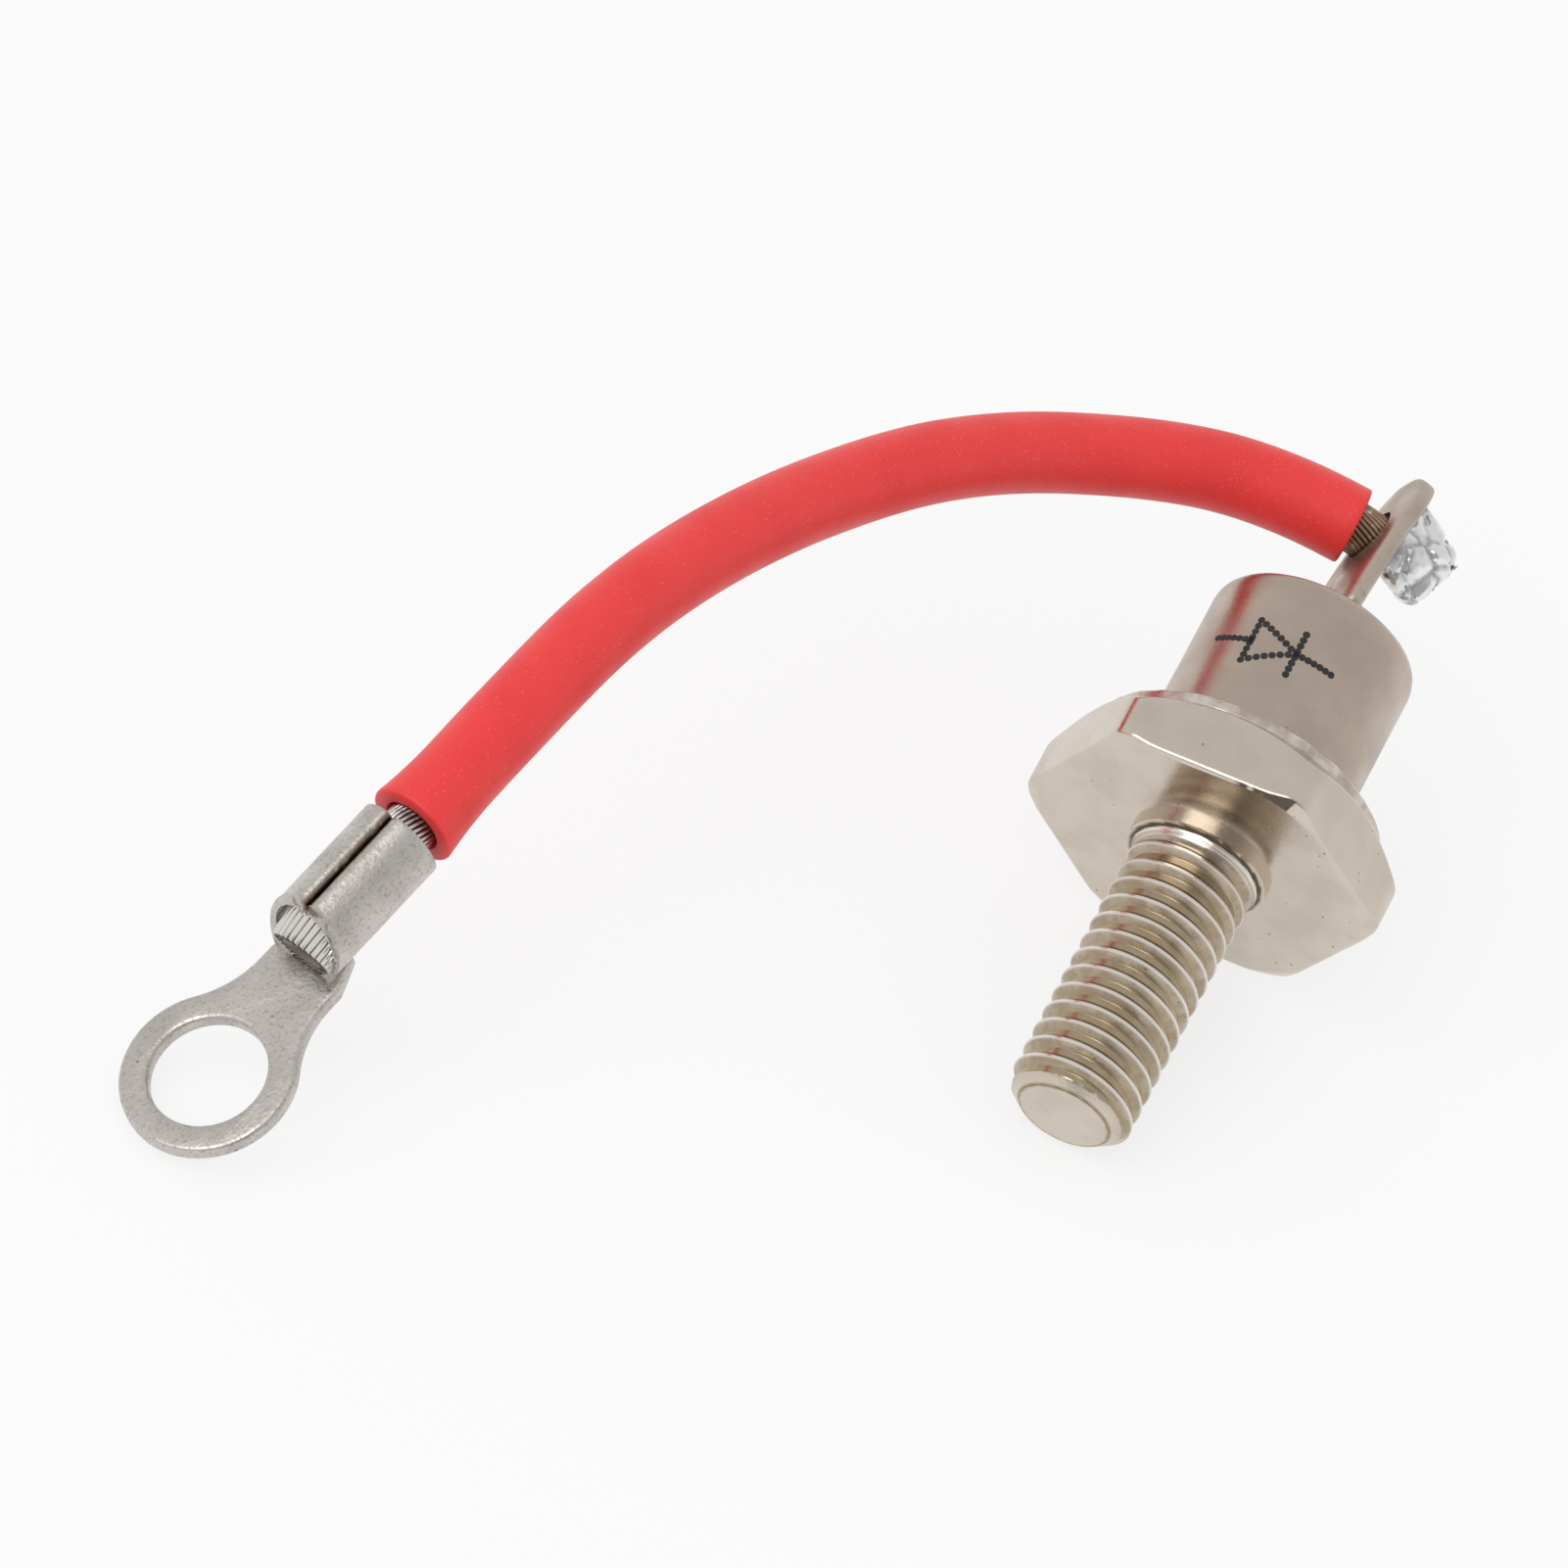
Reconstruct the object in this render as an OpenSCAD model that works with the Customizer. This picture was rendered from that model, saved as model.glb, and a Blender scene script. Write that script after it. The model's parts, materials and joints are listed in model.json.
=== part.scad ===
// Stud rectifier diode with a short flexible lead and a crimped ring terminal.
// It lies on a table: +Z is up from the table, +X is the level heading of the stud's end.
// It rests on the end of the thread, one corner of the hex and the tip of the ring.

/* [Stud] */
// Major diameter of the thread
stud_d = 5.9; // [5:0.1:8]
// Length from the seat to the end face
stud_len = 14.5; // [11:0.1:20]
// Diameter of the flat end face
stud_end_d = 4.3; // [3.6:0.1:4.8]
// Length of the bevel round the end face
stud_bevel = 0.7; // [0.4:0.1:1.2]
// Width of the fillet between the seat and the thread
collar_w = 0.4; // [0.2:0.05:0.8]
// Length of the plain collar under the first thread
collar_h = 0.8; // [0.4:0.1:1.5]

/* [Hex base] */
// Width across the flats
hex_af = 15.1; // [14:0.1:19]
// Thickness from the seat to the face under the flange
hex_h = 3.4; // [3:0.1:6]
// Diameter of the flat seat inside its bevel
seat_d = 15.6; // [14:0.1:16]
// Slope of the bevel on the seat side
seat_slope = 22; // [8:1:30]
// Slope of the bevel on the cap side
top_slope = 39; // [20:1:45]
// Width of the flat rim outside the flange
rim_w = 0.1; // [0.05:0.05:0.3]

/* [Cap] */
// Outer diameter of the drawn cap
cap_d = 9.8; // [9:0.1:10.4]
// Height of the cap above the hex
cap_h = 9.6; // [9:0.1:13]
// Radius of the rounded shoulder
cap_round = 0.9; // [0.8:0.1:2]
// Wall thickness of the cap
cap_wall = 0.5; // [0.3:0.05:0.7]
// Width of the welded flange
flange_w = 2.15; // [1.8:0.05:2.3]
// Thickness of the welded flange
flange_t = 0.65; // [0.4:0.05:0.9]

/* [Weld ring] */
// Thickness of the steel ring let into the base
weld_t = 0.8; // [0.5:0.1:1.5]
// Inset of the ring from the flange's edge
weld_inset = 0.6; // [0.3:0.05:0.9]

/* [Glass seal] */
// Length of the glass bead
seal_len = 1.8; // [1.2:0.1:2.4]
// Wall of glass between the tube and the cap
seal_w = 1; // [0.6:0.05:1.2]
// Depth of the dished top of the glass
seal_dish = 0.12; // [0.05:0.01:0.2]

/* [Terminal lug] */
// Diameter of the tube that passes through the glass
tube_d = 2.4; // [2:0.1:2.8]
// Length of the tube below the glass
tube_tail = 1.6; // [1:0.1:2.2]
// Width of the flattened lug
lug_w = 4.6; // [4:0.1:5.6]
// Thickness of the flattened lug
lug_t = 1.1; // [0.8:0.05:1.5]
// Length of the lug above the cap
lug_len = 9.7; // [8.8:0.1:12]
// Length of the taper from tube to lug
neck_len = 1.6; // [1:0.1:2.2]
// Height of the eye above the cap
eye_h = 6; // [5:0.1:6.4]
// Lean of the lug toward its solder side
lug_lean = 3; // [0:0.5:5]

/* [Chip stack] */
// Height of the pedestal above the hex
pedestal_h = 0.8; // [0.4:0.1:1.4]
// Gap between the pedestal and the cap wall
pedestal_gap = 0.3; // [0.1:0.05:0.5]
// Diameter of the silicon die
die_d = 5; // [4:0.1:6]
// Thickness of the silicon die
die_t = 0.35; // [0.2:0.05:0.5]
// Thickness of the lower molybdenum disc
lower_disc_t = 0.6; // [0.4:0.1:1]
// Thickness of the upper molybdenum disc
upper_disc_t = 0.5; // [0.3:0.1:0.8]
// Thickness of each solder layer
solder_t = 0.1; // [0.05:0.01:0.2]
// Diameter of the contact pin's shank
pin_d = 1.2; // [0.8:0.1:1.5]
// Thickness of the contact pin's head
pin_head_t = 0.4; // [0.2:0.05:0.6]
// Length of the shank inside the tube
pin_grip = 2.4; // [1:0.1:3]

/* [Lead] */
// Diameter of the stranded conductor
wire_d = 2.4; // [1.6:0.1:2.6]
// Wall of the insulation
insul_wall = 0.65; // [0.4:0.05:1]
// Bare conductor between the lug's eye and the insulation
bare_lug = 1.2; // [1:0.1:2.5]
// Bare conductor between the insulation and the ring terminal
bare_ring = 0.7; // [0.3:0.1:1.5]
// Conductor that shows in front of the crimped barrel
strand_out = 1.5; // [0.5:0.1:2]

/* [Ring terminal] */
// Outer diameter of the ring
ring_d = 7.8; // [7.4:0.1:10]
// Diameter of the ring's hole
ring_hole = 5.2; // [4.3:0.1:6]
// Thickness of the sheet
ring_t = 0.8; // [0.6:0.05:1.1]
// Length from the hole's centre to the back of the barrel
ring_reach = 12.9; // [12:0.1:16]
// Length of the closed barrel
barrel_len = 5.1; // [4:0.1:6]
// Length of the open scoop in front of the barrel
scoop_len = 1.6; // [1:0.1:2]
// Radius of the hollow sides between ring and barrel
neck_r = 5; // [3:0.5:6]
// Width of the butted seam
seam_w = 0.15; // [0.05:0.05:0.3]
// Width of each turned-in edge along the seam
seam_edge = 0.5; // [0.2:0.05:0.7]

/* [Lug solder] */
// Depth of the solder and folded strands behind the lug
blob_t = 3.3; // [2.4:0.1:3.6]
// Length of the solder along the lug
blob_len = 4.4; // [3.6:0.1:4.4]
// Width of the solder across the lug
blob_w = 3.4; // [2.4:0.1:4]

/* [Pose] */
// Turn of the resting hex corner away from straight down
corner_turn = 19; // [10:1:26]
// Turn of the lug about the diode's axis
lug_turn = 108; // [0:1:359]
// Heading of the ring terminal, from its ring to its barrel
terminal_yaw = 164; // [140:1:180]
// Roll of the ring terminal about its own length
terminal_roll = -15; // [-25:1:25]

/* [Hidden] */
$fn = 64;
arc_fn = 24;             // facets of a full turn on a small rounded edge
over = 0.5;              // how far a cut runs past the solid it cuts
eye_fit = 0.15;          // clearance round the conductor in the eye
pin_fit = 0.05;          // clearance round the pin in the tube
disc_step = 0.3;         // each disc's step in from the one below
head_step = 0.6;         // step in from the upper disc to the pin's head
lift = 0.3;              // rise of the barrel over the flat of the tab
neck_step = 0.1;         // step in from the tube and the lug to the neck between them
cord_sides = 8;

// Points on the lead's centreline from the eye to the back of the barrel
route = [
    [0, 0, 0], [1, -7, 0.3], [5, -13.5, 0.5], [10.5, -18.5, 1], [17, -22.5, 1],
    [24, -25.5, 1], [30.5, -27.5, 0.5], [37.5, -29, -1], [44.5, -30.5, -3.5]
];
route_end = route[len(route) - 1];
route_steps = 4;

// Turned sizes of the base
hex_r = hex_af / 2 / cos(30);
seat_rise = max(hex_r - seat_d / 2, 0) * tan(seat_slope);
flange_d = cap_d + 2 * flange_w;
weld_d = flange_d - 2 * weld_inset;
pedestal_d = cap_d - 2 * cap_wall - 2 * pedestal_gap;
hex_top_d = flange_d + 2 * rim_w;
thread_end = stud_len - stud_bevel;

// Levels above the seat
pedestal_z = hex_h + pedestal_h;
lower_disc_z = pedestal_z + solder_t;
die_z = lower_disc_z + lower_disc_t + solder_t;
upper_disc_z = die_z + die_t + solder_t;
head_z = upper_disc_z + upper_disc_t + solder_t;
cap_z = hex_h + cap_h;
seal_z = cap_z - seal_len;
tube_z = seal_z - tube_tail;

// Diameters of the stack
lower_disc_d = die_d + 2 * disc_step;
upper_disc_d = die_d - 2 * disc_step;
head_d = upper_disc_d - 2 * head_step;
seal_d = tube_d + 2 * seal_w;
eye_d = wire_d + 2 * eye_fit;

// Lead and barrel
bore_r = wire_d / 2;
insul_r = bore_r + insul_wall;
barrel_r = bore_r + ring_t;
barrel_front = ring_reach - barrel_len;
scoop_front = barrel_front - scoop_len;

// How the diode lies: the end of the thread and one hex corner are level
tilt = atan((hex_r * cos(corner_turn) - stud_d / 2) / (thread_end + seat_rise));
seat_z = stud_d / 2 * cos(tilt) + thread_end * sin(tilt);
reach_front = stud_len * cos(tilt) + stud_end_d / 2 * sin(tilt);
function laid(v) = [sin(tilt) * v.x - cos(tilt) * v.z, v.y, cos(tilt) * v.x + sin(tilt) * v.z];
function lug_point(h) =
    let (side = h * sin(lug_lean))
    laid([side * cos(lug_turn), side * sin(lug_turn), cap_z + h * cos(lug_lean)]);
reach_back = -lug_point(lug_len).x;
seat_x = (reach_back - reach_front) / 2;
lug_out = laid([cos(lug_lean) * cos(lug_turn), cos(lug_lean) * sin(lug_turn), -sin(lug_lean)]);
eye = [seat_x, 0, seat_z] + lug_point(eye_h);

// How the ring terminal lies: it pitches down until its ring touches the table
terminal_at = eye + route_end;
function ring_low(pitch) = terminal_at.z - ring_reach * sin(pitch)
    - (barrel_r + lift) * cos(terminal_roll) * cos(pitch)
    - ring_d / 2 * sqrt(1 - pow(cos(terminal_roll) * cos(pitch), 2));
function settle(low, high, steps) =
    let (mid = (low + high) / 2)
    steps == 0 ? mid : ring_low(mid) > 0 ? settle(mid, high, steps - 1) : settle(low, mid, steps - 1);
terminal_pitch = settle(0, 80, 40);
terminal_axis = [
    cos(terminal_pitch) * cos(terminal_yaw), cos(terminal_pitch) * sin(terminal_yaw), sin(terminal_pitch)
];

// Smooth centreline through the route: square to the lug at one end, into the barrel at the other
lead_in = norm(route[1]);
route_ends = concat([lug_out * lead_in], route, [route_end - terminal_axis * lead_in]);
function spline(p, u) =
    p[1] + u / 2 * (p[2] - p[0]) + u * u * (p[0] - 2.5 * p[1] + 2 * p[2] - p[3] / 2)
    + u * u * u / 2 * (3 * p[1] - p[0] - 3 * p[2] + p[3]);
curve = [
    for (i = [0:len(route) - 2], k = [0:route_steps - 1])
        eye + spline([for (j = [0:3]) route_ends[i + j]], k / route_steps)
];

// Paths of the insulation and the conductor
function along(a, b, distance) = a + distance * (b - a) / norm(b - a);
insul_start = along(eye, curve[1], bare_lug);
insul_end = along(terminal_at, curve[len(curve) - 1], bare_ring);
insul_path = concat(
    [insul_start],
    [for (c = curve) if (norm(c - eye) > bare_lug + 0.3 && norm(c - terminal_at) > bare_ring + 0.3) c],
    [insul_end]
);
conductor_path = concat(
    [eye + lug_out * lug_t / 2, eye - lug_out * lug_t / 2],
    insul_path,
    [terminal_at, terminal_at - terminal_axis * (barrel_len + strand_out)]
);

// Sweep helpers: rings of points square to the path
function path_way(path, i) =
    let (a = path[max(i - 1, 0)], b = path[min(i + 1, len(path) - 1)])
    (b - a) / norm(b - a);
function path_ring(path, i, r) =
    let (way = path_way(path, i), flat = cross(way, [0, 0, 1]), side = flat / norm(flat))
    let (top = cross(side, way), turn = 360 / cord_sides)
    [for (k = [0:cord_sides - 1]) path[i] + r * (cos(k * turn) * side + sin(k * turn) * top)];

module swept_rod(path, r) {
    rings = len(path);
    n = cord_sides;
    polyhedron(
        [for (i = [0:rings - 1]) each path_ring(path, i, r)],
        concat(
            [[for (k = [n - 1:-1:0]) k]],
            [for (i = [0:rings - 2], k = [0:n - 1])
                [i * n + k, i * n + (k + 1) % n, (i + 1) * n + (k + 1) % n, (i + 1) * n + k]],
            [[for (k = [0:n - 1]) (rings - 1) * n + k]]
        )
    );
}

// Sleeve on a swept rod, from one of the rod's rings to another
module swept_sleeve(path, first, last, r_out, r_in) {
    rings = last - first + 1;
    n = cord_sides;
    m = 2 * n;
    end = (rings - 1) * m;
    polyhedron(
        [for (i = [first:last]) each concat(path_ring(path, i, r_out), path_ring(path, i, r_in))],
        concat(
            [for (k = [0:n - 1]) [k, n + k, n + (k + 1) % n, (k + 1) % n]],
            [for (i = [0:rings - 2], k = [0:n - 1])
                [i * m + k, i * m + (k + 1) % n, (i + 1) * m + (k + 1) % n, (i + 1) * m + k]],
            [for (i = [0:rings - 2], k = [0:n - 1])
                [i * m + n + k, (i + 1) * m + n + k, (i + 1) * m + n + (k + 1) % n, i * m + n + (k + 1) % n]],
            [for (k = [0:n - 1]) [end + k, end + (k + 1) % n, end + n + (k + 1) % n, end + n + k]]
        )
    );
}

// The diode's own frame: axis up from the seat, laid down on the table
module lay() {
    translate([seat_x, 0, seat_z]) rotate([0, tilt - 90, 0]) children();
}

module on_lug() {
    lay() translate([0, 0, cap_z]) rotate([0, lug_lean, lug_turn]) children();
}

// The ring terminal's own frame: ring at the origin, barrel along +X
module at_terminal() {
    translate(terminal_at) rotate([terminal_roll, -terminal_pitch, terminal_yaw])
        translate([-ring_reach, 0, -barrel_r - lift]) children();
}

module disc(d, z, t) {
    lay() translate([0, 0, z]) cylinder(d = d, h = t);
}

// Hex bar with a turned bevel on each face
module hex_blank() {
    r_out = hex_r + over;
    intersection() {
        rotate(corner_turn) linear_extrude(hex_h) circle(r = hex_r, $fn = 6);
        rotate_extrude() polygon([
            [0, 0],
            [seat_d / 2, 0],
            [r_out, (r_out - seat_d / 2) * tan(seat_slope)],
            [r_out, hex_h - (r_out - hex_top_d / 2) * tan(top_slope)],
            [hex_top_d / 2, hex_h],
            [0, hex_h]
        ]);
    }
}

module stud_base() {
    color("silver") lay() {
        difference() {
            hex_blank();
            translate([0, 0, hex_h - weld_t]) cylinder(d = weld_d, h = weld_t + over);
        }
        translate([0, 0, hex_h - weld_t - over]) cylinder(d = pedestal_d, h = weld_t + over + pedestal_h);
        rotate_extrude() difference() {
            translate([0, -collar_h]) square([stud_d / 2 + collar_w, collar_h + over]);
            translate([stud_d / 2 + collar_w, -collar_h]) circle(r = collar_w, $fn = arc_fn);
        }
        translate([0, 0, -thread_end]) cylinder(d = stud_d, h = thread_end + over);
        translate([0, 0, -stud_len]) cylinder(d1 = stud_end_d, d2 = stud_d, h = stud_bevel);
    }
}

module weld_ring() {
    color("gray") lay() translate([0, 0, hex_h - weld_t]) difference() {
        cylinder(d = weld_d, h = weld_t);
        translate([0, 0, -over]) cylinder(d = pedestal_d, h = weld_t + 2 * over);
    }
}

// Half section of a cup with a rounded shoulder
module shoulder_half(r, h, round_r) {
    square([r, h - round_r]);
    square([r - round_r, h]);
    translate([r - round_r, h - round_r]) circle(r = round_r, $fn = arc_fn);
}

module cap_shell() {
    r = cap_d / 2;
    color("silver") lay() translate([0, 0, hex_h]) rotate_extrude() difference() {
        union() {
            intersection() {
                shoulder_half(r, cap_h, cap_round);
                square([r, cap_h]);
            }
            square([flange_d / 2, flange_t]);
        }
        difference() {
            translate([0, -over]) intersection() {
                shoulder_half(r - cap_wall, cap_h - cap_wall + over, cap_round - cap_wall);
                square([r, cap_h + over]);
            }
            translate([0, cap_h - seal_len]) square([seal_d / 2 + cap_wall, seal_len]);
        }
        translate([0, cap_h - seal_len - over]) square([seal_d / 2, seal_len + 2 * over]);
    }
}

module glass_seal() {
    mid_r = (tube_d + seal_d) / 4;
    dish_r = (seal_w * seal_w / 4 + seal_dish * seal_dish) / (2 * seal_dish);
    color("seagreen") lay() translate([0, 0, seal_z]) rotate_extrude() difference() {
        translate([tube_d / 2, 0]) square([seal_w, seal_len]);
        translate([mid_r, seal_len + dish_r - seal_dish]) circle(r = dish_r);
    }
}

// Tube that is pressed flat above the glass into a lug with an eye
module terminal_lug() {
    color("silver") difference() {
        union() {
            on_lug() rotate([90, 0, 90]) linear_extrude(lug_t, center = true) {
                translate([-lug_w / 2, neck_len]) square([lug_w, lug_len - neck_len - lug_w / 2]);
                translate([0, lug_len - lug_w / 2]) circle(d = lug_w);
            }
            on_lug() hull() {
                cylinder(d = tube_d - neck_step, h = over / 4, $fn = 32);
                translate([-lug_t / 2 + neck_step / 2, -lug_w / 2 + neck_step / 2, neck_len])
                    cube([lug_t - neck_step, lug_w - neck_step, over]);
            }
            lay() translate([0, 0, tube_z]) cylinder(d = tube_d, h = cap_z - tube_z + over / 4);
        }
        on_lug() translate([0, 0, eye_h]) rotate([0, 90, 0])
            cylinder(d = eye_d, h = lug_t + 2 * over, center = true);
        lay() translate([0, 0, tube_z - over]) cylinder(d = pin_d + 2 * pin_fit, h = pin_grip + over);
    }
}

module lower_disc() {
    color("dimgray") disc(lower_disc_d, lower_disc_z, lower_disc_t);
}

module silicon_die() {
    color("darkslategray") disc(die_d, die_z, die_t);
}

module upper_disc() {
    color("dimgray") disc(upper_disc_d, upper_disc_z, upper_disc_t);
}

// Nail-headed copper pin from the chip up into the tube
module contact_pin() {
    color("peru") {
        disc(head_d, head_z, pin_head_t);
        disc(pin_d, head_z + pin_head_t / 2, tube_z + pin_grip - head_z - pin_head_t / 2);
    }
}

module die_solder() {
    color("lightgray") {
        disc(lower_disc_d, pedestal_z, solder_t);
        disc(die_d, die_z - solder_t, solder_t);
        disc(upper_disc_d, upper_disc_z - solder_t, solder_t);
        disc(head_d, head_z - solder_t, solder_t);
    }
}

// Soft ring that seals the edge of the junction
module junction_coating() {
    bottom = die_z - solder_t;
    height = upper_disc_z + upper_disc_t / 2 - bottom;
    color("ivory") lay() translate([0, 0, bottom]) rotate_extrude() difference() {
        square([lower_disc_d / 2, height]);
        square([die_d / 2, die_t + solder_t]);
        square([upper_disc_d / 2, height + over]);
    }
}

// Lump of solder over the strands folded down behind the eye
module lug_solder() {
    small_r = blob_w * 0.19;
    big_r = blob_w * 0.32;
    low = eye_h - blob_len * 0.28;
    face = lug_t / 2;
    color("gainsboro") on_lug() difference() {
        union() {
            hull() {
                translate([face + small_r / 2, 0, low + blob_len - small_r]) sphere(small_r, $fn = 20);
                translate([face + blob_t - big_r, 0, eye_h + big_r]) sphere(big_r, $fn = 20);
                translate([face, 0, eye_h]) sphere(big_r, $fn = 20);
            }
            hull() {
                translate([face + blob_t - big_r, 0, eye_h + big_r]) sphere(big_r, $fn = 20);
                translate([face + blob_t - big_r, small_r, low + small_r]) sphere(small_r, $fn = 20);
                translate([face, -small_r / 2, low + small_r]) sphere(small_r, $fn = 20);
            }
        }
        translate([-blob_t - face, -blob_w, low - over])
            cube([blob_t + lug_t, 2 * blob_w, blob_len + 2 * over]);
    }
}

module lead_conductor() {
    color("peru") swept_rod(conductor_path, wire_d / 2);
}

module lead_insulation() {
    color("crimson") swept_sleeve(conductor_path, 2, len(conductor_path) - 3, insul_r, bore_r);
}

// Flat outline of ring and tab, with hollow sides that run into the barrel
module tab_outline() {
    reach = sqrt(pow(ring_d / 2 + neck_r, 2) - pow(barrel_r + neck_r, 2));
    share = ring_d / 2 / (ring_d / 2 + neck_r);
    tail = sqrt(pow(barrel_r, 2) - pow(barrel_r + lift - ring_t, 2));
    circle(d = ring_d);
    polygon([
        [0, -barrel_r],
        [scoop_front, -barrel_r],
        [barrel_front, -tail],
        [barrel_front, tail],
        [scoop_front, barrel_r],
        [0, barrel_r]
    ]);
    for (side = [-1, 1]) difference() {
        polygon([
            [0, 0],
            [share * reach, side * share * (barrel_r + neck_r)],
            [reach, side * (barrel_r + neck_r)],
            [reach, 0]
        ]);
        translate([reach, side * (barrel_r + neck_r)]) circle(r = neck_r);
    }
}

// One stamped sheet: ring, tab, scoop and rolled barrel with its seam on top
module ring_terminal() {
    axis_z = barrel_r + lift;
    top_z = axis_z + barrel_r;
    color("lightgray") at_terminal() difference() {
        union() {
            linear_extrude(ring_t) tab_outline();
            translate([scoop_front, 0, axis_z]) rotate([0, 90, 0])
                cylinder(r = barrel_r, h = ring_reach - scoop_front);
        }
        translate([0, 0, -over]) cylinder(d = ring_hole, h = ring_t + 2 * over);
        translate([scoop_front - over, 0, axis_z]) rotate([0, 90, 0])
            cylinder(r = bore_r, h = ring_reach - scoop_front + 2 * over);
        rotate([90, 0, 0]) linear_extrude(3 * barrel_r, center = true) polygon([
            [scoop_front - over, ring_t + lift],
            [scoop_front, ring_t + lift],
            [barrel_front, top_z + over],
            [scoop_front - over, top_z + over]
        ]);
        translate([scoop_front, -seam_w / 2, axis_z]) cube([ring_reach, seam_w, barrel_r + over]);
        translate([scoop_front, 0, top_z]) rotate([45, 0, 0])
            translate([0, -seam_edge / 2, -seam_edge / 2]) cube([ring_reach, seam_edge, seam_edge]);
    }
}

stud_base();
weld_ring();
cap_shell();
glass_seal();
terminal_lug();
lower_disc();
silicon_die();
upper_disc();
contact_pin();
die_solder();
junction_coating();
lug_solder();
lead_conductor();
lead_insulation();
ring_terminal();
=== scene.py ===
"""Looks of a stud rectifier diode that lies on a table with its short lead and crimped ring terminal."""
import json
from math import atan2, ceil, cos, pi, radians, sin, sqrt, tan

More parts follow.
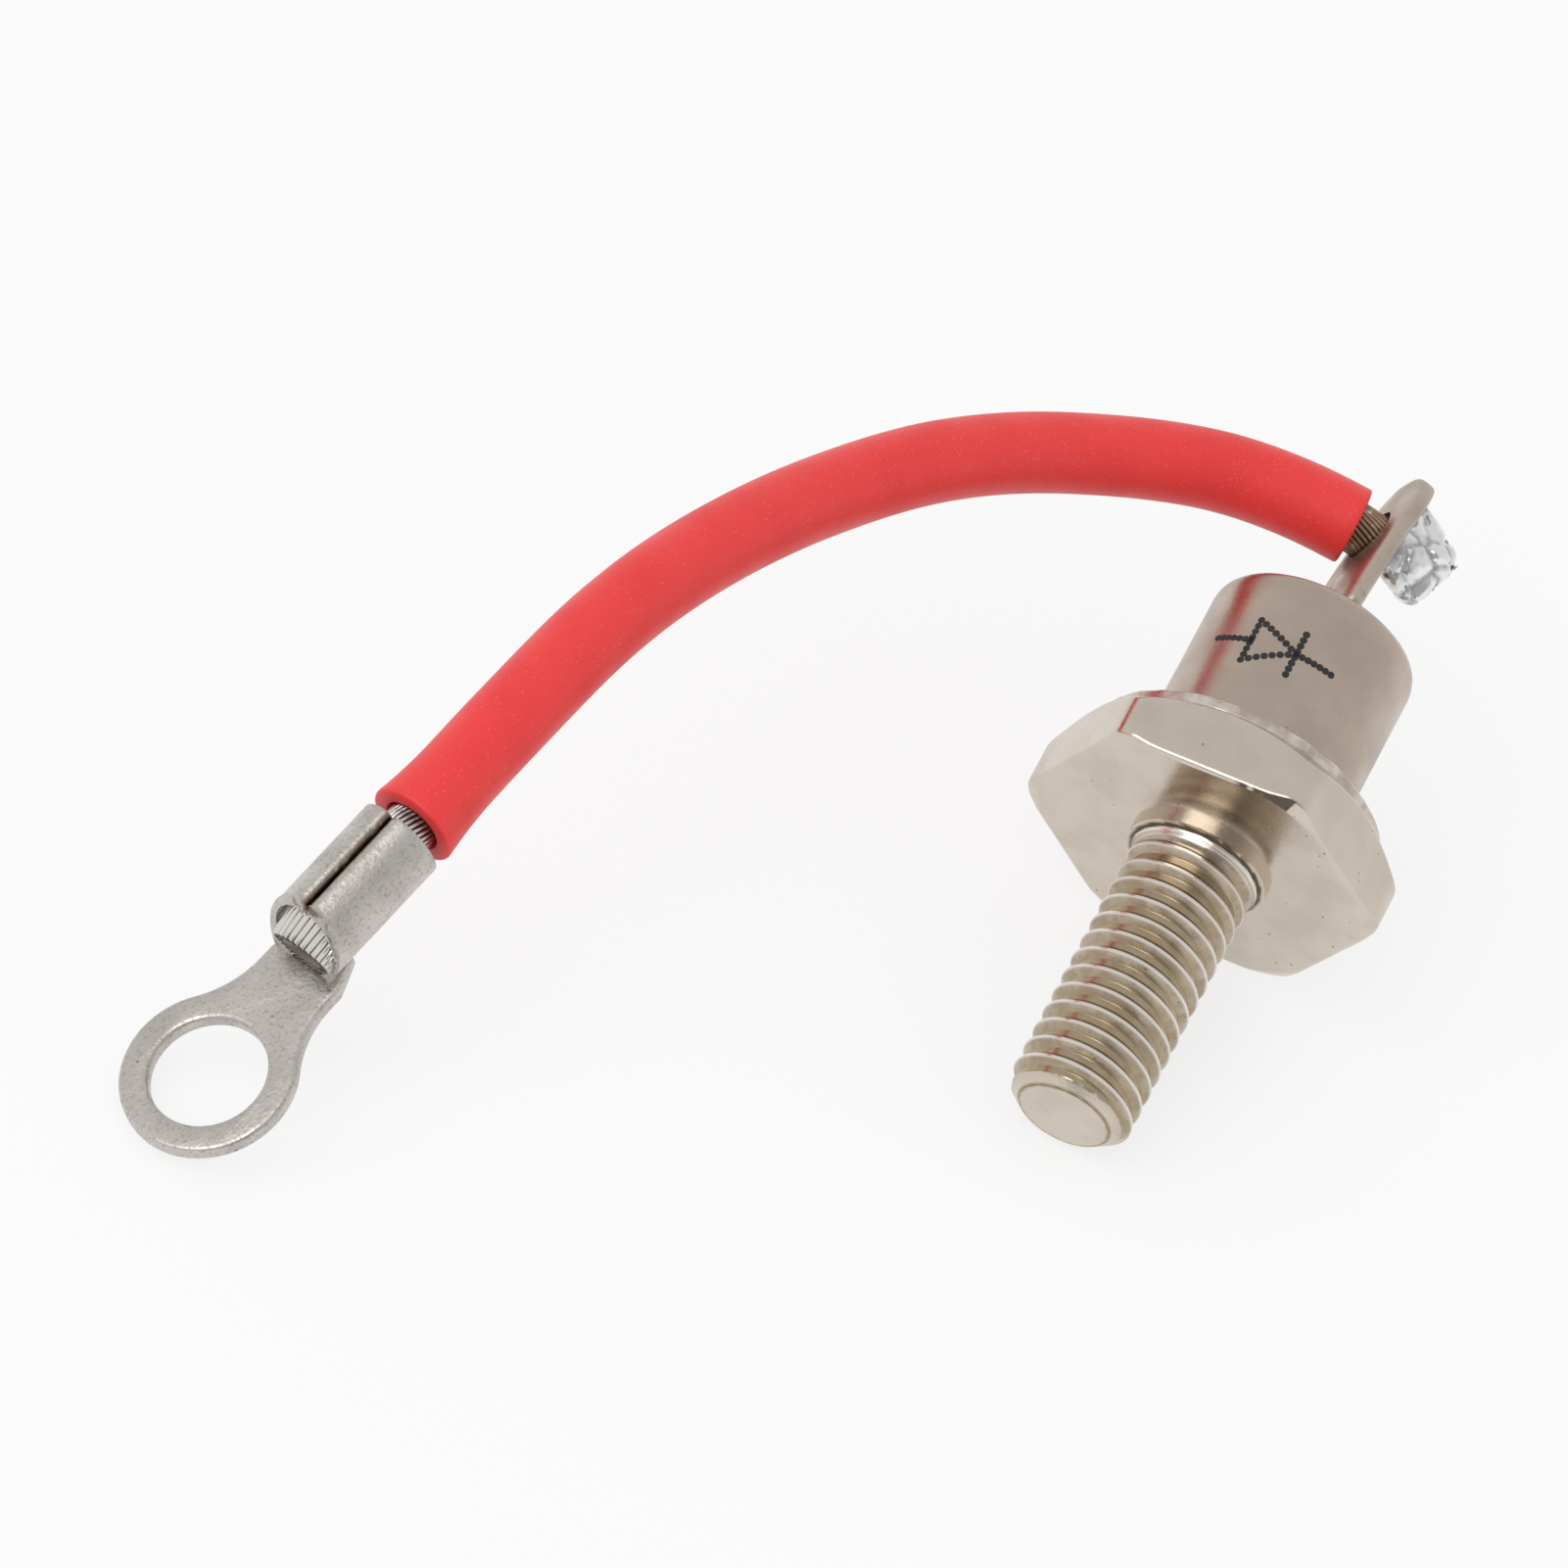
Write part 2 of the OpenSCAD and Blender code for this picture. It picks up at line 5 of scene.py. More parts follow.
import bmesh
import bpy
import numpy as np
from mathutils import Matrix, Vector, noise
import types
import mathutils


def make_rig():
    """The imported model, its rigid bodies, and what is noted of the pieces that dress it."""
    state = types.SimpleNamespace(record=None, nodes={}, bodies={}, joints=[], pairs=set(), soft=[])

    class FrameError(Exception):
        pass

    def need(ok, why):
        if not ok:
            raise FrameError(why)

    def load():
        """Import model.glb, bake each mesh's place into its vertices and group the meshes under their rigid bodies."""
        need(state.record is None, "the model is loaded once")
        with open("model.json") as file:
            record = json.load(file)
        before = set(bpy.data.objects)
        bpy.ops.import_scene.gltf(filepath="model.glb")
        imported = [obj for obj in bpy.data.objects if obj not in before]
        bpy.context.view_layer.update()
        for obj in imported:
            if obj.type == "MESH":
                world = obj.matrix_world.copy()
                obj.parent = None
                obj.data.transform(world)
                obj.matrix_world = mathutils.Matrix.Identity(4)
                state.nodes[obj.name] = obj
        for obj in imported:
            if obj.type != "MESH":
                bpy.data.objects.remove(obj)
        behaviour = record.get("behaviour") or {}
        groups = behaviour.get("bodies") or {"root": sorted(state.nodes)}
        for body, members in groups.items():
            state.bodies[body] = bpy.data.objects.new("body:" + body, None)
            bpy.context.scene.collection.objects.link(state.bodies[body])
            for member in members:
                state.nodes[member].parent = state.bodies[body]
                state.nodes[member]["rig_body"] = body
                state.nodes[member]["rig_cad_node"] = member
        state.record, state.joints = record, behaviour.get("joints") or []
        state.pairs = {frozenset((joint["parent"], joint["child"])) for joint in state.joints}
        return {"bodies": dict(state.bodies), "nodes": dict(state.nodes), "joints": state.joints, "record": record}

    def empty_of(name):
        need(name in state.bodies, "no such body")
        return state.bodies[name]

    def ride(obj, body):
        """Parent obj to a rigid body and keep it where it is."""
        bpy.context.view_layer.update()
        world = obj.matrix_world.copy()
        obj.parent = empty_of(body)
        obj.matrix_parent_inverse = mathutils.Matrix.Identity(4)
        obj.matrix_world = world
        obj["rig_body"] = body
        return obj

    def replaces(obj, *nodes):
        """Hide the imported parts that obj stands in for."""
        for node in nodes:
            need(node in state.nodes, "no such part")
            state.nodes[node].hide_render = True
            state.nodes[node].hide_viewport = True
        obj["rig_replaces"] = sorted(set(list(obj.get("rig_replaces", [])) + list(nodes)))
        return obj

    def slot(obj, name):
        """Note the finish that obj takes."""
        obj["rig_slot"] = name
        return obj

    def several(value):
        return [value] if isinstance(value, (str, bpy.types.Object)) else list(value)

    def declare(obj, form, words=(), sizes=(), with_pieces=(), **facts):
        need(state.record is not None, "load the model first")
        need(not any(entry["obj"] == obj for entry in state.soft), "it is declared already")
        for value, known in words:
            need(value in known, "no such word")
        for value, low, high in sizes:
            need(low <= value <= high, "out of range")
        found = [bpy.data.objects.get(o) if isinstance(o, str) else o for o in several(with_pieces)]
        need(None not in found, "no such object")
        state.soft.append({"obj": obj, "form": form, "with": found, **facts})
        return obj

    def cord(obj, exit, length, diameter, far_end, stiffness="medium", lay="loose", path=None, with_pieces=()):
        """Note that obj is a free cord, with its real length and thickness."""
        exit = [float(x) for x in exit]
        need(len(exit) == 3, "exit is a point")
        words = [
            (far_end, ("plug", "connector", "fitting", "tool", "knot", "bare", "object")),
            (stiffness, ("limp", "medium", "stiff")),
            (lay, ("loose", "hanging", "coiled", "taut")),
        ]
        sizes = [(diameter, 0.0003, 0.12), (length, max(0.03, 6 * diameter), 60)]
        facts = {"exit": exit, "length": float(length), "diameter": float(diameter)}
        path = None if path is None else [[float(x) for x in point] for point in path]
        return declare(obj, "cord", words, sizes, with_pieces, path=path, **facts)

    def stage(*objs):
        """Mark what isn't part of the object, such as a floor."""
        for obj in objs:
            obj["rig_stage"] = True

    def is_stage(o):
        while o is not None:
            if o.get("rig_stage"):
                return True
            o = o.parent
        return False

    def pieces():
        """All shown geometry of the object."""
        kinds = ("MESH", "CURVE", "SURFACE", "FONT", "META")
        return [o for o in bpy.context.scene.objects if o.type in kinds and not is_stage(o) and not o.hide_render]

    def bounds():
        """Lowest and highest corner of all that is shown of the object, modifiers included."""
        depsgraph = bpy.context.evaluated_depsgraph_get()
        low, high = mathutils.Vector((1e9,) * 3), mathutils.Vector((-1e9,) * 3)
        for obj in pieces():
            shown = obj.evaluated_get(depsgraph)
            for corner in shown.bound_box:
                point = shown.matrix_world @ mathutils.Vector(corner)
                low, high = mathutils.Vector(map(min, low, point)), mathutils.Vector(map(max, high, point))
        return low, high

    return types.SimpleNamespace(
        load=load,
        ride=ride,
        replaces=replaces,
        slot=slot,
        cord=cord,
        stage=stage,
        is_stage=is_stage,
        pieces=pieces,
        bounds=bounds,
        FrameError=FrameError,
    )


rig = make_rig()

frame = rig.load()
cad_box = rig.bounds()

# Sizes of the solids, in millimetres and degrees
MM = 0.001
STUD_D, STUD_LEN, STUD_END_D, STUD_BEVEL = 5.9, 14.5, 4.3, 0.7
COLLAR_W, COLLAR_H = 0.4, 0.8
HEX_AF, HEX_H, SEAT_D, SEAT_SLOPE, TOP_SLOPE, RIM_W = 15.1, 3.4, 15.6, 22, 39, 0.1
CAP_D, CAP_H, CAP_ROUND, CAP_WALL, FLANGE_W, FLANGE_T = 9.8, 9.6, 0.9, 0.5, 2.15, 0.65
WELD_T, WELD_INSET = 0.8, 0.6
SEAL_LEN, SEAL_W = 1.8, 1.0
TUBE_D, TUBE_TAIL, LUG_W, LUG_T, LUG_LEN, NECK_LEN, EYE_H = 2.4, 1.6, 4.6, 1.1, 9.7, 1.6, 6.0
LUG_LEAN, LUG_TURN, CORNER_TURN = 3, 108, 19
PEDESTAL_H, PEDESTAL_GAP = 0.8, 0.3
PIN_D, PIN_FIT, PIN_GRIP, EYE_FIT = 1.2, 0.05, 2.4, 0.15
WIRE_D, INSUL_WALL, BARE_LUG, BARE_RING, STRAND_OUT = 2.4, 0.65, 1.2, 0.7, 1.5
RING_D, RING_HOLE, RING_T, RING_REACH = 7.8, 5.2, 0.8, 12.9
BARREL_LEN, SCOOP_LEN, NECK_R, BARREL_LIFT = 5.1, 1.6, 5.0, 0.3

# Sizes that follow from them
CAP_Z = HEX_H + CAP_H
FLANGE_D = CAP_D + 2 * FLANGE_W
HEX_TOP_D = FLANGE_D + 2 * RIM_W
WELD_D = FLANGE_D - 2 * WELD_INSET
PEDESTAL_D = CAP_D - 2 * CAP_WALL - 2 * PEDESTAL_GAP
SEAL_D = TUBE_D + 2 * SEAL_W
BORE_R = WIRE_D / 2
INSUL_R = BORE_R + INSUL_WALL
BARREL_R = BORE_R + RING_T
BARREL_FRONT = RING_REACH - BARREL_LEN
SCOOP_FRONT = BARREL_FRONT - SCOOP_LEN
BARREL_Z = BARREL_R + BARREL_LIFT

# Thread, edges, strands and print, in millimetres and degrees
THREAD_PITCH, THREAD_DEPTH, THREAD_ROWS = 1.0, 0.34, 20
EDGE_R, CORNER_R = 0.22, 1.5
STRAND_D, STRAND_LAY = 0.23, 22.0
LUG_BEND, RIM_THIN, CUT_FLARE = 0.4, 0.55, 0.25
MARK_TURN, MARK_HEIGHT = -18, 5.4

# How much shorter the lug and thinner the insulation are than their solids, in millimetres
SLACK = 0.02

# Points on the lead's centreline from the lug's eye to the back of the barrel, in metres from the eye,
# and the steps from one to the next on the declared path and in the meshes
ROUTE = [
    (0.0, 0.0, 0.0), (0.001, -0.007, 0.0003), (0.005, -0.0135, 0.0005), (0.0105, -0.0185, 0.001),
    (0.017, -0.0225, 0.001), (0.024, -0.0255, 0.001), (0.0305, -0.0275, 0.0005), (0.0375, -0.029, -0.001),
    (0.0445, -0.0305, -0.0035),
]
ROUTE_STEPS, FINE_STEPS = 4, 12

# The view of the photograph, in degrees and millimetres
VIEW_AZIMUTH, VIEW_ELEVATION, VIEW_ROLL = 3.23, 40.63, 25.64
VIEW_DISTANCE, VIEW_WIDTH = 500, 69.34
AIM_RIGHT, AIM_UP = -18.35, 3.39
SENSOR = 36

# Floor and lamp, in metres and watts, and the way to the surround's darker side
FLOOR_HALF = 1.5
LAMP_OFFSET, LAMP_SIZE, LAMP_POWER = (0.58, -0.3, 0.63), 0.75, 3.6
DARK_SIDE = (0.93, 0.05, 0.36)


# Frames of the diode, the lug and the terminal: each takes millimetres to the row frame's metres

def axes_at(origin, x, y, z):
    """Matrix of a frame whose axes have the given directions, with millimetres as its units."""
    turn = Matrix((x, y, z)).transposed().to_4x4()
    return Matrix.Translation(origin) @ turn @ Matrix.Scale(MM, 4)


mounts = {m["name"]: m for m in frame["record"]["mounts"]}
stud_way = Vector(mounts["stud"]["axis"]).normalized()
seat_at = Vector(mounts["stud"]["pos_m"])
seat_at -= stud_way * (COLLAR_H + mounts["stud"]["dims"]["length_mm"] / 2) * MM
diode_y = Vector((0, 1, 0))
DIODE = axes_at(seat_at, diode_y.cross(-stud_way), diode_y, -stud_way)
LUG = DIODE @ Matrix.Translation((0, 0, CAP_Z))
LUG = LUG @ Matrix.Rotation(radians(LUG_TURN), 4, "Z") @ Matrix.Rotation(radians(LUG_LEAN), 4, "Y")
EYE = LUG @ Vector((0, 0, EYE_H))
LUG_OUT = (LUG.to_3x3() @ Vector((1, 0, 0))).normalized()

barrel_back = EYE + Vector(ROUTE[-1])
ring_up = Vector(mounts["ring_hole"]["axis"]).normalized()
ring_way = barrel_back - Vector(mounts["ring_hole"]["pos_m"])
ring_way = (ring_way - ring_way.dot(ring_up) * ring_up).normalized()
ring_at = barrel_back - ring_way * RING_REACH * MM - ring_up * BARREL_Z * MM
TERMINAL = axes_at(ring_at, ring_way, ring_up.cross(ring_way), ring_up)


# Node graphs

class Sock:
    """A node's output that takes part in Python expressions: each operator adds a Math node."""

    def __init__(self, graph, socket):
        self.graph = graph
        self.socket = socket

    def __add__(self, other):
        return self.graph.math("ADD", self, other)

    def __sub__(self, other):
        return self.graph.math("SUBTRACT", self, other)

    def __rsub__(self, other):
        return self.graph.math("SUBTRACT", other, self)

    def __mul__(self, other):
        return self.graph.math("MULTIPLY", self, other)

    def __truediv__(self, other):
        return self.graph.math("DIVIDE", self, other)

    __radd__ = __add__
    __rmul__ = __mul__


class Graph:
    """A node tree that is filled by one method."""

    def __init__(self, tree):
        self.tree = tree
        tree.nodes.clear()

    def add(self, kind, inputs=None, out=0, **settings):
        """Adds a node, sets its settings, then its sockets' values or links, and returns one output."""
        node = self.tree.nodes.new(kind)
        for key, value in settings.items():
            setattr(node, key, value)
        for key, value in (inputs or {}).items():
            if isinstance(value, Sock):
                self.tree.links.new(value.socket, node.inputs[key])
            else:
                node.inputs[key].default_value = value
        return Sock(self, node.outputs[out]) if node.outputs else node

    def math(self, operation, *values):
        return self.add("ShaderNodeMath", dict(enumerate(values)), operation=operation)

    def vector(self, operation, first, second, out=0):
        """A vector, or a number at output 1, from two vectors."""
        return self.add("ShaderNodeVectorMath", {0: first, 1: second}, out, operation=operation)

    def scaled(self, vector, amount):
        """A vector made so many times as long."""
        return self.add("ShaderNodeVectorMath", {0: vector, "Scale": amount}, operation="SCALE")

    def clamp(self, value, low=0.0, high=1.0):
        return self.add("ShaderNodeClamp", {"Value": value, "Min": low, "Max": high})

    def smooth(self, value, low, high):
        """A soft step from 0 at low to 1 at high; low may be the larger one."""
        values = {"Value": value, "From Min": low, "From Max": high}
        return self.add("ShaderNodeMapRange", values, interpolation_type="SMOOTHSTEP")

    def mix(self, factor, first, second):
        """A colour between two colours."""
        return self.add("ShaderNodeMix", {0: factor, 6: first, 7: second}, 2, data_type="RGBA")

    def place(self):
        """Object coordinates, in metres."""
        return self.add("ShaderNodeTexCoord", None, "Object")

    def attribute(self, name):
        """A number that the mesh carries under a name."""
        return self.add("ShaderNodeAttribute", None, "Fac", attribute_name=name)

    def grain(self, size, detail=2.0, roughness=0.5, stretch=None):
        """Noise whose features are about so many millimetres across."""
        where = self.place()
        if stretch:
            where = self.add("ShaderNodeMapping", {"Vector": where, "Scale": stretch})
        values = {"Vector": where, "Scale": 1 / (size * MM), "Detail": detail, "Roughness": roughness}
        return self.add("ShaderNodeTexNoise", values)

    def patches(self, size, low=0.35, high=0.7, detail=2.0):
        """Soft patches of 0 and 1, about so many millimetres across."""
        return self.smooth(self.grain(size, detail), low, high)

    def dots(self, size, edge, core):
        """Scattered dots about so many millimetres apart, whose radii are shares of that."""
        values = {"Vector": self.place(), "Scale": 1 / (size * MM)}
        return self.smooth(self.add("ShaderNodeTexVoronoi", values, "Distance"), edge, core)

    def bump(self, height, depth, strength):
        """A Normal from heights; a height of 1 stands for so many millimetres."""
        values = {"Height": height, "Distance": depth * MM, "Strength": strength}
        return self.add("ShaderNodeBump", values)


def rgb(red, green, blue):
    """An opaque colour in linear light."""
    return (red, green, blue, 1.0)


def finish(build, name=None):
    """A material whose shader is made by a function of its graph."""
    material = bpy.data.materials.new(name or build.__name__)
    material.use_nodes = True
    graph = Graph(material.node_tree)
    graph.add("ShaderNodeOutputMaterial", {"Surface": build(graph)})
    return material


def surface(graph, color, rough, height, depth, strength, more=None):
    """Shader with a relief of so many millimetres."""
    values = {"Base Color": color, "Roughness": rough, "Normal": graph.bump(height, depth, strength)}
    return graph.add("ShaderNodeBsdfPrincipled", values | (more or {}))


def metal(graph, *values):
    """The same shader for a metal."""
    return surface(graph, *values, {"Metallic": 1.0})


# Finishes

NICKEL, NICKEL_DULL = rgb(0.66, 0.59, 0.51), rgb(0.56, 0.495, 0.42)
CAP_TONE, CAP_DULL = rgb(0.52, 0.43, 0.36), rgb(0.42, 0.345, 0.29)
# the second colour on the next line darkens pits and is also a painted dark reflection
GOLDEN_SOIL, DARK_SOIL_AND_PAINTED_REFLECTION = rgb(0.40, 0.30, 0.17), rgb(0.06, 0.048, 0.036)
# the second colour on the next line is a painted highlight for the thread's crests and a band low on the collar
TARNISH, PAINTED_HIGHLIGHT = rgb(0.33, 0.26, 0.18), rgb(0.82, 0.78, 0.73)
WELD_BRIGHT = rgb(0.72, 0.68, 0.62)
LUG_TONE, LUG_DULL, LUG_STAIN = rgb(0.54, 0.455, 0.39), rgb(0.44, 0.365, 0.305), rgb(0.22, 0.16, 0.11)
TIN_TONE, TIN_DULL = rgb(0.60, 0.565, 0.525), rgb(0.47, 0.44, 0.405)
TIN_GRAIN, TIN_SPECK, SEAM_STAIN = rgb(0.27, 0.25, 0.23), rgb(0.13, 0.12, 0.11), rgb(0.16, 0.095, 0.06)
# the second colour on the next line is grey for duller patches and for painted shade
SOLDER_BRIGHT, SOLDER_GREY_AND_PAINTED_SHADE = rgb(0.84, 0.84, 0.84), rgb(0.20, 0.205, 0.21)
# the second colour on the next line is painted shade in the gaps between strands
STRAND_TONE, PAINTED_STRAND_SHADE, FLUX_STAIN = rgb(0.68, 0.655, 0.62), rgb(0.10, 0.085, 0.07), rgb(0.25, 0.14, 0.065)
RUBBER_RED, RUBBER_DULL = rgb(0.86, 0.046, 0.044), rgb(0.79, 0.038, 0.038)
RUBBER_CHALK = rgb(0.90, 0.20, 0.19)
INK_BLACK, INK_THIN = rgb(0.012, 0.010, 0.011), rgb(0.10, 0.085, 0.085)
GLASS_GREEN, GLASS_PALE = rgb(0.035, 0.06, 0.05), rgb(0.16, 0.22, 0.2)
SILICON_DARK, SILICON_PALE = rgb(0.10, 0.105, 0.12), rgb(0.15, 0.155, 0.175)
COATING_PALE, COATING_DULL = rgb(0.78, 0.75, 0.66), rgb(0.68, 0.64, 0.54)


def nickel_plate(g):
    """Satin nickel with clouds and pits; the thread has dark roots, tarnished flanks and painted highlights on its
    crests, with painted dark reflections on the collar, round the end and on the seat's bevel.
    """
    cloud = g.patches(2.2, detail=3.0)
    speck = g.grain(0.09, 1.0)
    pits = g.dots(0.55, 0.13, 0.07) * g.patches(1.4, 0.47, 0.6)
    groove, tarnish, crest = g.attribute("groove"), g.attribute("tarnish"), g.attribute("crest")
    # crescent: a painted dark reflection on the seat's bevel beside one corner
    crescent = g.attribute("crescent") * g.patches(0.8, 0.35, 0.5)
    color = g.mix(cloud * 0.55, NICKEL, NICKEL_DULL)
    blotch = 0.55 + 0.45 * g.patches(0.8, 0.35, 0.65)
    color = g.mix(tarnish * blotch * 0.9, color, TARNISH)
    color = g.mix(g.smooth(groove, 0.3, 1.1) * 0.6, color, GOLDEN_SOIL)
    # painted highlight: bright colour on the thread's crests and on a band low on the collar
    color = g.mix(crest * 0.8, color, PAINTED_HIGHLIGHT)
    # painted dark reflection: groove values above 1.1 come only from the bands on the collar and round the end
    dark = g.smooth(groove, 1.1, 1.6) * 0.9
    color = g.mix(g.clamp(pits * 0.7 + crescent * 0.9 + dark), color, DARK_SOIL_AND_PAINTED_REFLECTION)
    rough = 0.15 + 0.09 * cloud + 0.07 * g.smooth(speck, 0.4, 0.75) + 0.05 * tarnish
    height = speck * 0.4 + g.grain(0.6)
    return metal(g, color, rough, height, 0.010, 0.5)


def weld_plate(g):
    """The cap's plating, brighter and rough along the welded edge."""
    cloud = g.patches(2.4, detail=3.0)
    speck = g.grain(0.09, 1.0)
    weld = g.attribute("weld")
    pits = g.dots(0.6, 0.09, 0.05) * g.patches(1.6, 0.5, 0.62)
    color = g.mix(cloud * 0.55, CAP_TONE, CAP_DULL)
    color = g.mix(weld * g.patches(0.9, 0.3, 0.7), color, WELD_BRIGHT)
    color = g.mix(pits * 0.7, color, DARK_SOIL_AND_PAINTED_REFLECTION)
    rough = 0.25 + 0.1 * cloud + 0.08 * g.smooth(speck, 0.4, 0.75)
    height = speck * 0.5 + g.grain(0.6) * 0.9 + weld * g.grain(0.5) * 2.0
    return metal(g, color, rough, height, 0.012, 0.7)


def lug_plate(g):
    """Tinned lug: satin, with long drawing marks and brown stains."""
    cloud = g.patches(1.6, detail=3.0)
    marks = g.grain(0.25, stretch=(1.0, 0.25, 1.0))
    stain = g.patches(0.9, 0.58, 0.75, 3.0)
    color = g.mix(cloud * 0.6, LUG_TONE, LUG_DULL)
    color = g.mix(stain * 0.5, color, LUG_STAIN)
    rough = 0.34 + 0.14 * cloud + 0.08 * marks
    return metal(g, color, rough, marks, 0.015, 0.7)


def terminal_tin(g):
    """Matte tin plating with stamping grain, dark specks and brown staining along the seam."""
    cloud = g.patches(1.8, detail=3.0)
    speck = g.grain(0.17, 3.0, 0.6)
    specks = g.dots(0.8, 0.12, 0.06) * g.patches(1.1, 0.48, 0.6)
    seam = g.attribute("seam")
    color = g.mix(cloud * 0.6, TIN_TONE, TIN_DULL)
    color = g.mix(g.smooth(speck, 0.5, 0.68) * 0.5, color, TIN_GRAIN)
    color = g.mix(seam * g.patches(0.5, 0.25, 0.5), color, SEAM_STAIN)
    color = g.mix(specks * 0.75, color, TIN_SPECK)
    rough = 0.27 + 0.12 * cloud + 0.1 * g.smooth(speck, 0.4, 0.75)
    height = speck + g.grain(0.8) * 1.6
    return metal(g, color, rough, height, 0.022, 0.9)


def bright_solder(g):
    """Bright crumpled solder with duller grey patches, painted shade in its folds and a painted shadow beside the
    blade.
    """
    fold = g.attribute("fold") * g.patches(0.5, 0.3, 0.55)
    dull_and_painted_shadow = g.patches(1.6, 0.5, 0.7)
    # painted shade in the solder's folds and a painted shadow beside the blade darken it
    color = g.mix(g.clamp(fold * 0.75 + dull_and_painted_shadow * 0.35), SOLDER_BRIGHT, SOLDER_GREY_AND_PAINTED_SHADE)
    rough = 0.1 + 0.2 * g.clamp(fold + dull_and_painted_shadow)
    return metal(g, color, rough, g.grain(0.6), 0.03, 0.6)


def strand_wire(g):
    """Tinned strands with painted shade in the gaps between them, bright at the terminal and stained brown by flux at
    the lug.
    """
    stain = g.attribute("stain") * g.patches(0.6, 0.15, 0.5)
    color = g.mix(stain * 0.9, STRAND_TONE, FLUX_STAIN)
    # painted shade, darker where a point lies deep between the strands
    color = g.mix(g.smooth(g.attribute("sunk"), 0.2, 0.9) * 0.9, color, PAINTED_STRAND_SHADE)
    rough = 0.26 + 0.16 * stain
    return metal(g, color, rough, g.grain(0.12), 0.01, 0.5)


def red_silicone(g):
    """Satin red rubber with a fine orange-peel, chalky specks and soft patches of duller red."""
    peel = g.grain(0.16)
    patch = g.patches(3.0)
    specks = g.dots(0.2, 0.26, 0.12) * g.patches(0.8, 0.42, 0.6, 3.0)
    color = g.mix(patch * 0.5, RUBBER_RED, RUBBER_DULL)
    color = g.mix(specks * 0.5, color, RUBBER_CHALK)
    rough = 0.42 + 0.1 * patch
    return surface(g, color, rough, peel, 0.02, 0.5, {"IOR": 1.43, "Sheen Weight": 0.06})


def print_ink(g):
    """Matte black marking ink, a little thin in places."""
    thin = g.patches(0.12, 0.5, 0.75)
    color = g.mix(thin * 0.3, INK_BLACK, INK_THIN)
    return surface(g, color, 0.55 + 0.15 * thin, thin, 0.004, 0.4)


def plain_metal(color, dark, rough):
    """Shader builder for the metal pieces inside the cap."""
    def build(g):
        cloud = g.patches(0.8)
        tone = g.mix(cloud * 0.6, color, dark)
        return metal(g, tone, rough + 0.1 * cloud, g.grain(0.1), 0.01, 0.4)
    return build


def fused_glass(g):
    """Dark green glass bead with small bubbles."""
    bubbles = g.dots(0.3, 0.2, 0.1)
    color = g.mix(bubbles * 0.4, GLASS_GREEN, GLASS_PALE)
    return surface(g, color, 0.12 + 0.1 * bubbles, bubbles, 0.02, 0.4)


def polished_silicon(g):
    """Dark bluish chip with faint clouds."""
    tone = g.mix(g.grain(0.6), SILICON_DARK, SILICON_PALE)
    values = {"Base Color": tone, "Roughness": 0.15 + 0.08 * g.grain(0.3), "Metallic": 0.6}
    return g.add("ShaderNodeBsdfPrincipled", values)


def soft_coating(g):
    """Cream silicone varnish with a slightly uneven skin."""
    tone = g.mix(g.grain(0.7), COATING_PALE, COATING_DULL)
    return surface(g, tone, 0.45 + 0.1 * g.grain(0.4), g.grain(0.25), 0.02, 0.5)


nickel = finish(nickel_plate)
cap_nickel = finish(weld_plate)
lug_tin = finish(lug_plate)
tin = finish(terminal_tin)
solder = finish(bright_solder)
wire = finish(strand_wire)
rubber = finish(red_silicone)
ink = finish(print_ink)
steel = finish(plain_metal(rgb(0.45, 0.44, 0.43), rgb(0.34, 0.33, 0.32), 0.32), "plain_steel")
molybdenum = finish(plain_metal(rgb(0.42, 0.42, 0.44), rgb(0.33, 0.33, 0.35), 0.3), "lapped_molybdenum")
copper = finish(plain_metal(rgb(0.72, 0.40, 0.25), rgb(0.55, 0.28, 0.16), 0.28), "plain_copper")
soft_solder = finish(plain_metal(rgb(0.62, 0.62, 0.62), rgb(0.5, 0.5, 0.5), 0.35), "stack_solder")
glass = finish(fused_glass)
silicon = finish(polished_silicon)
coating = finish(soft_coating)


# Mesh helpers

def linked(name, data):
    """New object in the scene."""
    obj = bpy.data.objects.new(name, data)
    bpy.context.scene.collection.objects.link(obj)
    return obj


def piece(name, mesh, material, sharp=38):
    """Object at the origin with a clean closed mesh, smooth but for its sharp edges."""
    work = bmesh.new()
    work.from_mesh(mesh)
    bmesh.ops.remove_doubles(work, verts=work.verts, dist=1e-7)
    bmesh.ops.dissolve_degenerate(work, edges=work.edges, dist=1e-8)
    bmesh.ops.recalc_face_normals(work, faces=work.faces)
    work.to_mesh(mesh)
    work.free()
    mesh.shade_smooth()
    mesh.set_sharp_from_angle(angle=radians(sharp))
    mesh.materials.clear()
    mesh.materials.append(material)
    return linked(name, mesh)


def new_mesh(name, points, faces):
    mesh = bpy.data.meshes.new(name)
    mesh.from_pydata([tuple(p) for p in points], [], faces)
    return mesh


def baked(obj):
    """Mesh of an object with its modifiers made real; the object is removed."""
    depsgraph = bpy.context.evaluated_depsgraph_get()
    mesh = bpy.data.meshes.new_from_object(obj.evaluated_get(depsgraph), depsgraph=depsgraph)
    bpy.data.objects.remove(obj)
    return mesh


def joined(name, meshes):
    """One mesh from several; their named attributes stay."""
    work = bmesh.new()
    for mesh in meshes:
        work.from_mesh(mesh)
    mesh = bpy.data.meshes.new(name)
    work.to_mesh(mesh)
    work.free()
    return mesh


def store(mesh, name, values):
    """Keeps a number for each point of a mesh under a name."""
    layer = mesh.attributes.new(name, "FLOAT", "POINT")
    layer.data.foreach_set("value", np.asarray(values, np.float32))


